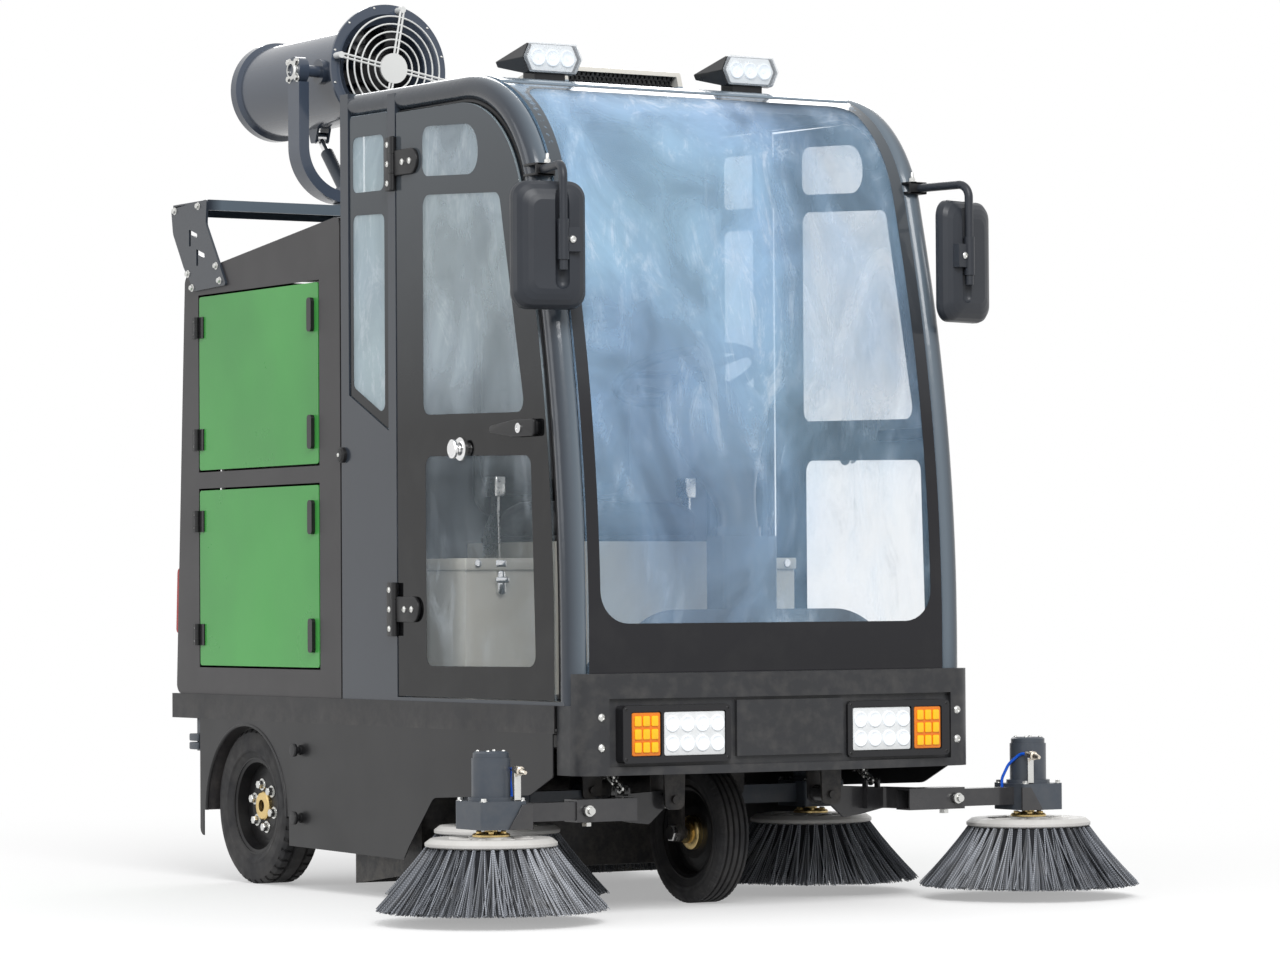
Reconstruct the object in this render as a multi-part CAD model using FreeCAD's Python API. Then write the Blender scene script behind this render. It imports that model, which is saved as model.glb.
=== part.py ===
import FreeCAD, Part
import math
import os

from FreeCAD import Vector

# Compact enclosed three-wheel road sweeper with side brushes and a mist fan.
# Millimetres. X runs across the machine, Z is up, and the front faces -Y.
# Stations are measured back from the line through the front brush spindles,
# and the right-hand side of the driver is at -X.

# Overall
body_half_width = 512.0
rail_overhang = 6.0
rail_front_y = 46.0
box_front_y = 1020.0
box_rear_y = 1886.0
rail_tail = 13.0
rail_bottom_z = 392.0
rail_height = 60.0
rail_depth = 40.0
sheet = 3.0
plate = 6.0
running_gap = 5.0
fit_gap = 0.3
# A length that reaches past the machine on every side, for cutting
beyond = 3000.0

# Wheels
front_axle_y = 288.0
rear_axle_y = 1500.0
front_tyre_radius = 157.0
front_tyre_width = 80.0
front_rim_radius = 106.0
rear_tyre_radius = 186.0
rear_tyre_width = 100.0
rear_rim_radius = 117.0
rear_wheel_from_side = 60.0
spring_from_wheel = 92.0
spring_half = 200.0
axle_pad = 32.0
tyre_groove = 6.0
front_ribs = 5
axle_radius = 14.0

# Steering
fork_leg_gap = 14.0
fork_leg_thick = 10.0
fork_leg_width = 56.0
crown_gap = 12.0
crown_thick = 14.0
head_radius = 38.0
head_length = 64.0
stem_radius = 22.0
steering_wheel_y = 325.0
steering_wheel_z = 1180.0
steering_wheel_radius = 160.0
steering_rim_radius = 12.0
steering_rake_deg = 20.0
column_drop = 50.0

hinge_radius = 7.0
hinge_half = 26.0
hinge_middle = 9.0
hinge_leaf = 30.0

# Cab outline in the plane of the side, as corner points with bend radii
sill_y = -10.0
sill_z = 525.0
bend_y = -9.0
bend_z = 1047.0
bend_radius = 3600.0
header_y = 188.0
header_z = 1836.0
header_radius = 345.0
roof_rear_y = 1012.0
roof_rear_z = 1850.0
hoop_diameter = 56.0
windshield_gap = 4.0
glass_thick = 6.0
roof_thick = 10.0
windshield_top_y = 352.0
post_width = 38.0
door_post_y = 760.0
door_rear_y = 742.0
door_bottom_z = 462.0
door_hinge_low_z = 660.0
door_hinge_high_z = 1705.0
door_knob_y = 455.0
door_knob_z = 1000.0
scoop_front_y = 600.0
scoop_rear_y = 930.0
scoop_half_width = 160.0
scoop_height = 56.0
scoop_wall = 12.0
quarter_low_z = 1053.0
quarter_high_z = 1152.0
floor_thick = 8.0
bulkhead_thick = 20.0

# Rear box
box_rear_lean = 54.0
box_top_front_z = 1572.0
box_top_rear_z = 1480.0
box_wall = 4.0
deck_z = 974.0
bay_front_margin = 108.0
bay_rear_margin = 133.0
bay_handle_inset = 29.0
bay_handle_width = 22.0
bay_handle_half = 40.0
bay_handle_stand = 10.0
bay_hinge_from_edge = 75.0
battery_side_gap = 182.0
battery_end_gap = 70.0
battery_top_gap = 114.0
tank_side_gap = 82.0
tank_end_gap = 40.0
tank_top_gap = 120.0
upper_bay_low_z = 999.0
upper_bay_high_z = 1424.0
lower_bay_low_z = 522.0
lower_bay_high_z = 949.0
bay_door_depth = 22.0
tailgate_low_z = 560.0
tailgate_high_z = 1290.0
tailgate_margin = 112.0
tailgate_depth = 24.0
tailgate_pin_rise = 16.0
tailgate_pin_out = 12.0
tailgate_hinge_x = 260.0

rear_lamp_low_z = 600.0
rear_lamp_high_z = 760.0

# Tail rack
rack_front_y = 1698.0
rack_rear_y = 1896.0
rack_top_z = 1661.0
rack_thick = 26.0
rack_foot_z = 1440.0
rack_cut_width = 10.0
rack_cut_leg = 42.0
rack_cut_arm = 45.0
rack_cut_fall = 14.0
rack_cut_from_rear = 100.0
rack_cut_from_top = 67.0
rack_cut_pitch = (-40.0, -51.0)

# Skirts
skirt_bottom_z = 100.0
skirt_flange = 22.0
skirt_tail = 154.0
arch_radius = 214.0
arch_centre_z = 170.0
arch_liner_depth = 124.0
skirt_front_y = 52.0

# Bumper and lamps
bumper_top_z = 520.0
bumper_bottom_z = 304.0
bumper_front_y = -88.0
bumper_corner_y = -58.0
bumper_corner_from_side = 50.0
bumper_shell = 5.0
bumper_recess = 9.0
recess_margin = 18.0
panel_lamp_gap = 14.0
panel_low_z = 340.0
panel_high_z = 460.0
lamp_width = 272.0
lamp_from_corner = 38.0
lamp_low_z = 330.0
lamp_high_z = 452.0
lamp_face_y = -83.0
lamp_depth = 34.0
lamp_frame = 13.0
lamp_split_from_outer = 102.0
roof_lamp_half = 77.0
roof_lamp_length = 120.0
roof_lamp_x = 265.0
roof_lamp_y = 465.0
roof_lamp_z = 1893.0
mirror_bracket_y = 177.0
mirror_bracket_z = 1605.0
mirror_arm_out = 18.0
mirror_arm_y = -25.0
mirror_tube = 9.5
mirror_sleeve = 12.5
mirror_sleeve_low_z = 1400.0
mirror_sleeve_high_z = 1486.0
mirror_recess = 17.0
mirror_low_z = 1296.0
mirror_high_z = 1570.0
mirror_half_width = 82.0
mirror_depth = 46.0
mirror_rim = 12.0
mirror_dome = 58.0
mirror_from_arm_x = 23.0
mirror_from_arm_y = 28.0
mirror_yaw = 15.0

# Side brushes
brush_radius = 250.0
brush_tip_z = 27.0
brush_disc_radius = 140.0
brush_disc_z = 165.0
brush_disc_thick = 14.0
front_brush_x = 700.0
inner_brush_from_side = 93.0
inner_brush_y = 463.0
gearbox_low_z = 198.0
gearbox_high_z = 257.0
gearbox_half_x = 55.0
gearbox_half_y = 60.0
brush_motor_radius = 41.0
brush_motor_top_z = 361.0
spindle_radius = 14.0
bristle_root = 30.0
tuft_slots = 18
tuft_gap = 4.5
bristle_band = 62.0
motor_flange = 8.0
front_pivot_x = 205.0
front_pivot_y = 92.0
front_pivot_z = 243.0
inner_pivot_x = 190.0
inner_pivot_z = 250.0
arm_tube = 48.0
arm_wall = 4.0
arm_root_from_pivot = 150.0
arm_end_from_brush = 195.0
arm_overlap = 35.0
pivot_radius = 9.0
hook_x = 328.0
hook_y = 131.0
hook_z = 297.0
hook_pin_radius = 2.5
shackle_y = 85.0
shackle_z = 268.0
chain_wire = 5.0
chain_half_width = 11.0
chain_links = 3

# Roller brush
roller_y = 930.0
roller_radius = 140.0
roller_side_gap = 102.0
roller_core_radius = 62.0
roller_tip_z = 28.0
tunnel_wall = 5.0
tunnel_gap = 14.0

# Mist fan
fan_yaw_from_tail = 48.0
fan_axis_z = 2010.0
fan_intake_y = 1716.0
fan_outlet_y = 2340.0
fan_barrel_radius = 119.0
fan_intake_radius = 163.0
fan_mouth_radius = 139.0
fan_outlet_radius = 129.0
fan_flange = 8.0
fan_wall = 4.0
yoke_half_width = 200.0
yoke_bar_thick = 28.0
yoke_bar_width = 60.0
yoke_corner_radius = 140.0
yoke_base_radius = 70.0
yoke_base_height = 18.0
trunnion_radius = 15.0
guard_radius = 131.0
guard_inner_radius = 53.0
guard_hub_radius = 38.0
guard_foot_radius = 151.0
guard_wire = 2.2
guard_spoke_wire = 2.8
guard_pair = 4.5
guard_rings = 5
guard_depth = 26.0
blade_count = 7
jack_foot_from_yaw = 95.0
jack_foot_rise = 39.0
jack_eye_from_yaw = 240.0
jack_eye_drop = 140.0
jack_tube_radius = 17.0
jack_rod_radius = 9.0
jack_pin_radius = 6.0

# Interior
seat_front_y = 560.0
seat_rear_y = 960.0
seat_half_width = 235.0
seat_top_z = 900.0
seat_thick = 90.0
back_top_z = 1400.0
console_front_y = 60.0
console_rear_y = 150.0
console_half = 70.0
console_top_z = 815.0
column_foot_radius = 52.0
column_seat_radius = 44.0
# Steering column, from its neck up: height, station, and half its width and depth
column_sections = [
    (830.0, 122.0, 46.0, 46.0), (872.0, 125.0, 44.0, 44.0), (915.0, 145.0, 54.0, 54.0),
    (959.0, 168.0, 74.0, 66.0), (1010.0, 190.0, 100.0, 78.0), (1060.0, 206.0, 122.0, 88.0),
    (1100.0, 214.0, 130.0, 90.0), (1138.0, 219.0, 112.0, 74.0), (1158.0, 221.0, 80.0, 50.0),
]
locker_top_z = 745.0
locker_gap = 15.0

# The origin lies midway along the machine
origin_y = (fan_outlet_y - brush_radius) / 2.0

rail_half_width = body_half_width + rail_overhang
rail_rear_y = box_rear_y + rail_tail
skirt_rear_y = rail_rear_y - skirt_tail
fan_yaw_y = rack_rear_y - fan_yaw_from_tail
jack_foot_y = fan_yaw_y + jack_foot_from_yaw
jack_foot_z = rack_top_z + yoke_base_height + jack_foot_rise
jack_eye_y = fan_yaw_y + jack_eye_from_yaw
jack_eye_z = fan_axis_z - jack_eye_drop
rear_wheel_x = body_half_width - rear_wheel_from_side
spring_x = rear_wheel_x - spring_from_wheel
inner_brush_x = body_half_width - inner_brush_from_side
roller_half_length = body_half_width - roller_side_gap
mirror_arm_x = body_half_width + mirror_arm_out
bumper_corner_x = body_half_width - bumper_corner_from_side
lamp_outer_x = bumper_corner_x - lamp_from_corner
lamp_inner_x = lamp_outer_x - lamp_width
lamp_split_x = lamp_outer_x - lamp_split_from_outer
panel_half_width = lamp_inner_x - panel_lamp_gap
bay_front_y = box_front_y + bay_front_margin
bay_rear_y = box_rear_y - bay_rear_margin
rail_top_z = rail_bottom_z + rail_height
tailgate_half_width = body_half_width - tailgate_margin
bumper_rear_y = rail_front_y
cross_depth = 50.0
cross_height = 50.0
cross_bottom_z = rail_top_z - cross_height
tunnel_reach = roller_radius + tunnel_gap + tunnel_wall
member_gap = 26.0
box_bottom_z = rail_top_z
cab_half_width = rail_half_width - 5.0
hoop_radius = hoop_diameter / 2.0
hoop_x = cab_half_width - hoop_radius
inner_half_width = hoop_x - hoop_radius
glazing_half_width = inner_half_width + 5.0


def block(x0, x1, y0, y1, z0, z1):
    low = Vector(min(x0, x1), min(y0, y1), min(z0, z1))
    return Part.makeBox(abs(x1 - x0), abs(y1 - y0), abs(z1 - z0), low)


def rod(start, end, radius):
    start = Vector(*start)
    along = Vector(*end) - start
    return Part.makeCylinder(radius, along.Length, start, along)


def tube(start, end, outer, inner):
    return rod(start, end, outer).cut(rod(start, end, inner))


def joined(shapes):
    shapes = list(shapes)
    return shapes[0].multiFuse(shapes[1:]).removeSplitter() if len(shapes) > 1 else shapes[0]


def mirrored(shape):
    return shape.mirror(Vector(0, 0, 0), Vector(1, 0, 0))


def path_edges(points, radii):
    """Straight runs joined by tangent arcs at the inner points."""
    edges = []
    last = points[0]
    for before, corner, after, radius in zip(points, points[1:], points[2:], radii):
        if radius <= 0:
            edges.append(Part.LineSegment(last, corner).toShape())
            last = corner
            continue
        back = (before - corner).normalize()
        ahead = (after - corner).normalize()
        half = back.getAngle(ahead) / 2.0
        reach = radius / math.tan(half)
        middle = (back + ahead).normalize()
        start = corner + back * reach
        end = corner + ahead * reach
        crown = corner + middle * (radius / math.sin(half) - radius)
        if (start - last).Length > 1e-6:
            edges.append(Part.LineSegment(last, start).toShape())
        edges.append(Part.Arc(start, crown, end).toShape())
        last = end
    if (points[-1] - last).Length > 1e-6:
        edges.append(Part.LineSegment(last, points[-1]).toShape())
    return edges


def rounded_wire(points, radii):
    """A closed outline with its corners rounded by the given radii."""
    count = len(points)
    start = (points[0] + points[-1]) / 2.0
    loop = [start] + list(points) + [start]
    return Part.Wire(path_edges(loop, list(radii)[:count]))


def lift(plane, u, v, w):
    return {"x": Vector(w, u, v), "y": Vector(u, w, v), "z": Vector(u, v, w)}[plane]


def slab(plane, outline, low, high, radii=None):
    """A flat outline given in two axes, drawn out along the third."""
    points = [lift(plane, u, v, low) for u, v in outline]
    wire = rounded_wire(points, radii or [0] * len(points))
    return Part.Face(wire).extrude(lift(plane, 0, 0, high - low))


def turned(axis, centre, outline):
    """A radius and distance outline turned about an axis through the centre."""
    side = {"x": Vector(0, 0, 1), "y": Vector(0, 0, 1), "z": Vector(1, 0, 0)}[axis]
    along = {"x": Vector(1, 0, 0), "y": Vector(0, 1, 0), "z": Vector(0, 0, 1)}[axis]
    middle = Vector(*centre)
    points = [middle + side * r + along * s for r, s in outline]
    wire = Part.makePolygon(points + [points[0]])
    return Part.Face(wire).revolve(middle, along, 360)


def save(name, shape):
    shape = shape.copy()
    shape.translate(Vector(0, -origin_y, 0))
    shape.exportStep(os.path.join("parts", name + ".step"))


def both_sides(name, shape):
    """A piece drawn on the driver's right and its mirror image on the left."""
    save(name + "_right", shape)
    save(name + "_left", mirrored(shape))


# Cab outline

def cab_points(inset):
    """The side outline of the cab moved inward by an inset, with its bend radii."""
    corners = [(sill_y, sill_z), (bend_y, bend_z), (header_y, header_z), (roof_rear_y, roof_rear_z)]
    normals = []
    for (y0, z0), (y1, z1) in zip(corners, corners[1:]):
        length = math.hypot(y1 - y0, z1 - z0)
        normals.append(((z1 - z0) / length, -(y1 - y0) / length))
    moved = [(corners[0][0] + normals[0][0] * inset, corners[0][1] + normals[0][1] * inset)]
    for corner, one, two in zip(corners[1:], normals, normals[1:]):
        scale = inset / (1.0 + one[0] * two[0] + one[1] * two[1])
        moved.append((corner[0] + (one[0] + two[0]) * scale, corner[1] + (one[1] + two[1]) * scale))
    moved.append((corners[3][0] + normals[2][0] * inset, corners[3][1] + normals[2][1] * inset))
    return moved, [bend_radius - inset, header_radius - inset]


def cab_path(inset, x, bottom_z=None):
    """The inset cab outline at a place across the machine, from a height to the roof's rear."""
    moved, radii = cab_points(inset)
    if bottom_z is not None:
        moved[0] = (moved[0][0], bottom_z)
    points = [Vector(x, y, z) for y, z in moved]
    return path_edges(points, radii)


def cab_region(inset, x0, x1, bottom_z, rear_y):
    """Everything inside the inset outline, as a solid across the machine."""
    moved, radii = cab_points(inset)
    moved[0] = (moved[0][0], bottom_z)
    slope = (moved[3][1] - moved[2][1]) / (moved[3][0] - moved[2][0])
    moved[3] = (rear_y, moved[2][1] + slope * (rear_y - moved[2][0]))
    edges = path_edges([Vector(x0, y, z) for y, z in moved], radii)
    top = Vector(x0, rear_y, moved[3][1])
    low = Vector(x0, rear_y, bottom_z)
    first = Vector(x0, moved[0][0], bottom_z)
    edges += [Part.LineSegment(top, low).toShape(), Part.LineSegment(low, first).toShape()]
    return Part.Face(Part.Wire(edges)).extrude(Vector(x1 - x0, 0, 0))


def cab_band(outer, inner, x0, x1, bottom_z, rear_y):
    """The skin between two insets of the cab outline."""
    shell = cab_region(outer, x0, x1, bottom_z, rear_y)
    return shell.cut(cab_region(inner, x0 - 1, x1 + 1, bottom_z - 1, rear_y + 1))


# Hinges

def hinge(x, y, z, leaf_y, leaf_thick=4.0):
    """An upright hinge on a side wall: its fixed part with two knuckles and its moving part with one."""
    inward = -1 if x > 0 else 1
    wall = x + inward * hinge_radius
    outer = wall - inward * leaf_thick
    low = z - hinge_half
    high = z + hinge_half
    lower = rod((x, y, low), (x, y, z - hinge_middle - fit_gap), hinge_radius)
    upper = rod((x, y, z + hinge_middle + fit_gap), (x, y, high), hinge_radius)
    fixed_leaf = block(wall, outer, y, y + leaf_y * hinge_leaf, low, high)
    moving_leaf = block(wall, outer, y, y - leaf_y * hinge_leaf, low, high)
    reach = hinge_radius + 1.0
    gap = block(x - reach, x + reach, y - reach, y + reach, z - hinge_middle - fit_gap, z + hinge_middle + fit_gap)
    space = block(x - reach, x + reach, y - reach, y + reach, low - 1, high + 1)
    fixed = joined([lower, upper, fixed_leaf]).cut(gap)
    barrel = rod((x, y, z - hinge_middle), (x, y, z + hinge_middle), hinge_radius)
    tongue = block(wall, outer, y, y - leaf_y * hinge_leaf, z - hinge_middle, z + hinge_middle)
    moving = joined([moving_leaf.cut(space), tongue, barrel])
    return fixed, moving


# Chassis

def side_rail():
    outer = block(-rail_half_width, -rail_half_width + rail_depth, rail_front_y, rail_rear_y,
                  rail_bottom_z, rail_top_z)
    hollow = block(-rail_half_width + sheet, -rail_half_width + rail_depth + 1, rail_front_y - 1,
                   rail_rear_y + 1, rail_bottom_z + sheet, rail_top_z - sheet)
    return outer.cut(hollow)


def cross_member(y, half_length):
    """A folded channel across the machine, open below."""
    top = rail_top_z
    reach = cross_depth / 2
    outer = block(-half_length, half_length, y - reach, y + reach, cross_bottom_z, top)
    hollow = block(-half_length - 1, half_length + 1, y - reach + sheet, y + reach - sheet,
                   cross_bottom_z - 1, top - sheet)
    return outer.cut(hollow)


def pivot_lugs(x, y, z, width, top_z):
    """Two plates that hang either side of a brush arm's pivot."""
    lugs = []
    for side in (-1, 1):
        face = y + side * (width / 2 + 1.0)
        outline = [(x - 30, top_z), (x + 30, top_z), (x + 24, z - 22), (x - 24, z - 22)]
        lugs.append(slab("y", outline, face, face + side * plate, [0, 0, 16, 16]))
    pin = rod((x, y - width / 2 - 14, z), (x, y + width / 2 + 14, z), pivot_radius)
    return lugs + [pin]


def chassis_frame():
    """Two side rails joined by folded cross members, with the seats of the rear springs."""
    rail = side_rail()
    pieces = [rail, mirrored(rail)]
    beside_tunnel = tunnel_reach + member_gap + cross_depth / 2
    places = [
        front_pivot_y, inner_brush_y, roller_y - beside_tunnel, roller_y + beside_tunnel,
        rear_axle_y - spring_half, rear_axle_y + spring_half, rail_rear_y - cross_depth / 2,
    ]
    for y in places:
        pieces.append(cross_member(y, rail_half_width - sheet))
    reach = spring_half + 20
    for side in (-1, 1):
        inner, outer = side * (spring_x - 20), side * (spring_x + 20)
        pieces.append(block(inner, outer, rear_axle_y - 30, rear_axle_y + 30,
                            rear_tyre_radius + axle_pad, cross_bottom_z))
        pieces.append(block(inner, outer, rear_axle_y - reach, rear_axle_y + reach,
                            cross_bottom_z - 8, cross_bottom_z + 1))
    return joined(pieces)


def front_subframe():
    """Plate under the front cross members with the steering head, the arms' lugs and the chain hooks."""
    low = cross_bottom_z - plate
    front = front_pivot_y - cross_depth / 2
    wide = front_pivot_x + 36
    pieces = [
        block(-wide, wide, front, inner_brush_y + cross_depth / 2, low, cross_bottom_z),
        block(-hook_x - 20, hook_x + 20, front, hook_y + 8, low, cross_bottom_z),
    ]
    head_low = front_tyre_radius * 2 + crown_gap + crown_thick + 4.0
    pieces.append(rod((0, front_axle_y, head_low), (0, front_axle_y, head_low + head_length), head_radius))
    for side in (-1, 1):
        pieces += pivot_lugs(side * front_pivot_x, front_pivot_y, front_pivot_z, arm_tube, cross_bottom_z)
        pieces += pivot_lugs(side * inner_pivot_x, inner_brush_y, inner_pivot_z, arm_tube, cross_bottom_z)
        pieces += pin_lugs(side * hook_x, hook_y, hook_z, low)
    bore = rod((0, front_axle_y, 0), (0, front_axle_y, beyond), stem_radius + fit_gap)
    return joined(pieces).cut(bore)


def side_skirt():
    """The lower side panel with the rear wheel arch and its liner, and the opening over the inner brush."""
    x = -rail_half_width
    outline = [
        (skirt_rear_y, rail_bottom_z), (skirt_rear_y, skirt_bottom_z + 8),
        (inner_brush_y + 252, skirt_bottom_z - 6), (inner_brush_y + 227, skirt_bottom_z + 24),
        (inner_brush_y + 112, brush_disc_z + 73), (skirt_front_y + 98, brush_disc_z + 93),
        (skirt_front_y, 300), (skirt_front_y, rail_bottom_z),
    ]
    panel = slab("x", outline, x, x + sheet, [0, 20, 16, 60, 26, 60, 10, 0])
    arch = rod((x - 1, rear_axle_y, arch_centre_z), (x + 9, rear_axle_y, arch_centre_z), arch_radius)
    mouth = block(x - 1, x + 9, rear_axle_y - arch_radius - 12, rear_axle_y + arch_radius + 12, 0, arch_centre_z)
    inner_x = x + arch_liner_depth
    liner = tube((x + sheet, rear_axle_y, arch_centre_z), (inner_x, rear_axle_y, arch_centre_z), arch_radius + sheet,
                 arch_radius)
    liner = liner.cut(block(x - 1, inner_x + 1, 0, beyond, -beyond, arch_centre_z))
    flange = block(x, x + skirt_flange, skirt_front_y, skirt_rear_y, rail_bottom_z - sheet, rail_bottom_z)
    return joined([panel.cut(arch).cut(mouth), liner, flange])


# Cab

def quarter_panel():
    """Side sheet behind the door, with the slanted lower edge of the quarter window."""
    outline = [
        (door_post_y, rail_top_z), (roof_rear_y, rail_top_z), (roof_rear_y, quarter_high_z + 15),
        (roof_rear_y - post_width, quarter_high_z), (door_post_y, quarter_low_z),
    ]
    return slab("x", outline, -cab_half_width, -cab_half_width + 16)


def hoop_pipe(grow=0.0):
    """The front pillar and roof rail of one side: one round tube, or the seat around it when grown."""
    path = Part.Wire(cab_path(hoop_radius, -hoop_x, rail_top_z))
    start = path.Vertexes[0].Point
    foot = Part.Wire(Part.makeCircle(hoop_radius + grow, start, Vector(0, 0, 1)))
    return path.makePipeShell([foot], True, True)


def cab_side():
    """One side hoop with its rear post, door post, sill and quarter panel."""
    outer = -cab_half_width
    rear_post = block(outer, outer + 40, roof_rear_y - post_width, roof_rear_y, rail_top_z, roof_rear_z)
    door_post = block(outer, outer + 34, door_post_y - 12, door_post_y + 24, rail_top_z, roof_rear_z - 20)
    sill = block(outer, outer + 40, sill_y + 20, roof_rear_y, rail_top_z, rail_top_z + 8)
    return joined([hoop_pipe(), rear_post, door_post, sill, quarter_panel()])


def cab_frame():
    side = cab_side()
    front_beam = block(-hoop_x, hoop_x, sill_y + 12, sill_y + 52, rail_top_z + 10, bumper_top_z - 8)
    seat_inset = roof_thick + fit_gap
    liner = cab_band(seat_inset, seat_inset + 24.0, -hoop_x, hoop_x, sill_z, roof_rear_y)
    bows = [liner.common(block(-hoop_x, hoop_x, y0, y1, 0, beyond)) for y0, y1 in (
        (windshield_top_y - 10, windshield_top_y + 50), (door_post_y - 12, door_post_y + 24),
        (roof_rear_y - post_width, roof_rear_y))]
    return joined([side, mirrored(side), front_beam] + bows)


def roof_height(y):
    """Height of the roof's outer skin behind its bend."""
    slope = (roof_rear_z - header_z) / (roof_rear_y - header_y)
    return header_z + slope * (y - header_y)


def roof_scoop():
    """Air scoop with its mouth to the front."""
    front, rear = scoop_front_y, scoop_rear_y
    low, high = roof_height(front), roof_height(front) + scoop_height
    outline = [(front - 20, low - 3), (front, high), (front + 90, high + 8), (rear, low + 24), (rear + 5, low + 2)]
    body = slab("x", outline, -scoop_half_width, scoop_half_width, [0, 14, 60, 20, 0])
    wide = scoop_half_width - scoop_wall
    mouth = slab("x", [(front - 30, low + scoop_wall), (front - 30, high - scoop_wall),
                       (front + 40, high - scoop_wall), (front + 60, low + scoop_wall)], -wide, wide, [0, 0, 8, 8])
    return body.cut(mouth)


def roof_panel():
    """Roof skin from the windshield to the rear, with its air scoop."""
    skin = cab_band(0.0, roof_thick, -glazing_half_width, glazing_half_width, sill_z, roof_rear_y)
    skin = skin.common(block(-beyond, beyond, windshield_top_y + 2, beyond, 0, beyond))
    return joined([skin, roof_scoop()])


def windshield():
    glass = cab_band(windshield_gap, windshield_gap + glass_thick, -glazing_half_width,
                     glazing_half_width, bumper_top_z - 6, 900)
    return glass.common(block(-beyond, beyond, -beyond, windshield_top_y, 0, beyond))


def quarter_edge(y):
    """Height of the slanted lower edge of the quarter window."""
    rise = (quarter_high_z - quarter_low_z) / (roof_rear_y - post_width - door_post_y)
    return quarter_low_z + rise * (y - door_post_y)


def quarter_glass():
    front, rear = door_post_y + 26, roof_rear_y - post_width - 2
    top = roof_rear_z - hoop_diameter
    outline = [(front, quarter_edge(front) + fit_gap), (rear, quarter_edge(rear) + fit_gap),
               (rear, top + 2), (front, top - 2)]
    x = -cab_half_width + 4
    return slab("x", outline, x, x + glass_thick, [6, 6, 14, 14])


def cab_floor():
    """Floor pan, rear bulkhead and the low front wall behind the windshield's foot."""
    rear = roof_rear_y - 44
    pan = block(-inner_half_width, inner_half_width, 48, rear, rail_top_z, rail_top_z + floor_thick)
    wide = inner_half_width + 4
    bulkhead = block(-wide, wide, rear, rear + bulkhead_thick, rail_top_z, roof_rear_z - hoop_diameter)
    low, shoulder, top = rail_top_z, rail_top_z + 88, rail_top_z + 203
    edge = inner_half_width - 17
    hump = slab("y", [(-edge, low), (edge, low), (edge, shoulder), (250, top), (-250, top), (-edge, shoulder)],
                48, 54, [0, 0, 60, 160, 160, 60])
    return joined([pan, bulkhead, hump])


def cab_boxes():
    """Seat pedestal and the two side lockers on the cab floor."""
    low = rail_top_z + floor_thick
    wide = seat_half_width - locker_gap
    pedestal = block(-wide, wide, seat_front_y - 20, seat_rear_y - 20, low, seat_top_z - seat_thick - fit_gap)
    locker = block(-inner_half_width + locker_gap, -seat_half_width - locker_gap, seat_front_y, seat_rear_y - 20,
                   low, locker_top_z)
    return Part.makeCompound([pedestal, locker, mirrored(locker)])


def seat():
    outline = [
        (seat_front_y, seat_top_z - seat_thick), (seat_rear_y - 6, seat_top_z - seat_thick),
        (seat_rear_y - 6, back_top_z), (seat_rear_y - 100, back_top_z), (seat_rear_y - 140, seat_top_z),
        (seat_front_y, seat_top_z),
    ]
    return slab("x", outline, -seat_half_width, seat_half_width, [30, 20, 40, 40, 30, 35])


def steering_console():
    """Pedestal and a moulded column that swells from a round neck to a head with a seat for the shaft."""
    low = rail_top_z + floor_thick
    wide = console_half
    outline = [(-wide, console_front_y), (wide, console_front_y), (wide, console_rear_y), (-wide, console_rear_y)]
    foot = slab("z", outline, low, console_top_z, [16] * 4)
    neck_z, neck_y = column_sections[0][:2]
    collar = rod((0, neck_y, console_top_z - 10), (0, neck_y, neck_z + 6), column_foot_radius)
    rings = [Part.Wire(Part.Ellipse(Vector(0, y, z), half_x, half_y).toShape())
             for z, y, half_x, half_y in column_sections]
    column = Part.makeLoft(rings, True, False, False, 3)
    up = steering_axis()
    seat = Vector(0, steering_wheel_y, steering_wheel_z) - up * column_drop
    column = column.fuse(Part.makeCylinder(column_seat_radius, 60, seat - up * 60, up))
    column = column.cut(Part.makeCylinder(column_seat_radius + 6, column_drop, seat, up))
    return joined([foot, collar, column])


def steering_axis():
    rake = math.radians(steering_rake_deg)
    return Vector(0, -math.sin(rake), -math.cos(rake)) * -1.0


def steering_wheel():
    up = steering_axis()
    centre = Vector(0, steering_wheel_y, steering_wheel_z)
    rim = Part.makeTorus(steering_wheel_radius, steering_rim_radius, centre, up)
    hub = Part.makeCylinder(34, 36, centre - up * 30, up)
    stalk = Part.makeCylinder(12, column_drop - 25, centre - up * (column_drop - fit_gap), up)
    pieces = [rim, hub, stalk]
    for turn in (90, 210, 330):
        spoke = block(-11, 11, 20, steering_wheel_radius, -5, 3)
        spoke.rotate(Vector(0, 0, 0), Vector(0, 0, 1), turn)
        spoke.rotate(Vector(0, 0, 0), Vector(1, 0, 0), -steering_rake_deg)
        spoke.translate(centre)
        pieces.append(spoke)
    return joined(pieces)


def cab_door():
    """Frameless glass door with its hinge leaves and pull knob."""
    inset = hoop_diameter + running_gap
    x = -cab_half_width
    y, z = door_knob_y, door_knob_z
    pane = cab_region(inset, x, x + glass_thick, door_bottom_z, door_rear_y)
    knob = rod((x - 26, y, z), (x, y, z), 11)
    rose = rod((x - 8, y, z), (x, y, z), 20)
    handle = block(x + glass_thick, x + glass_thick + 22, y - 275, y - 55, z + 40, z + 62)
    leaves = [door_hinge(height)[1] for height in (door_hinge_low_z, door_hinge_high_z)]
    return joined([pane, knob, rose, handle] + leaves)


def door_hinge(z):
    return hinge(-cab_half_width - hinge_radius, door_rear_y + 6, z, 1)


# Rear box

def box_rear(z):
    """Station of the leaning rear wall at a height."""
    share = (z - box_bottom_z) / (box_top_rear_z - box_bottom_z)
    return box_rear_y - box_rear_lean * share


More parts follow.
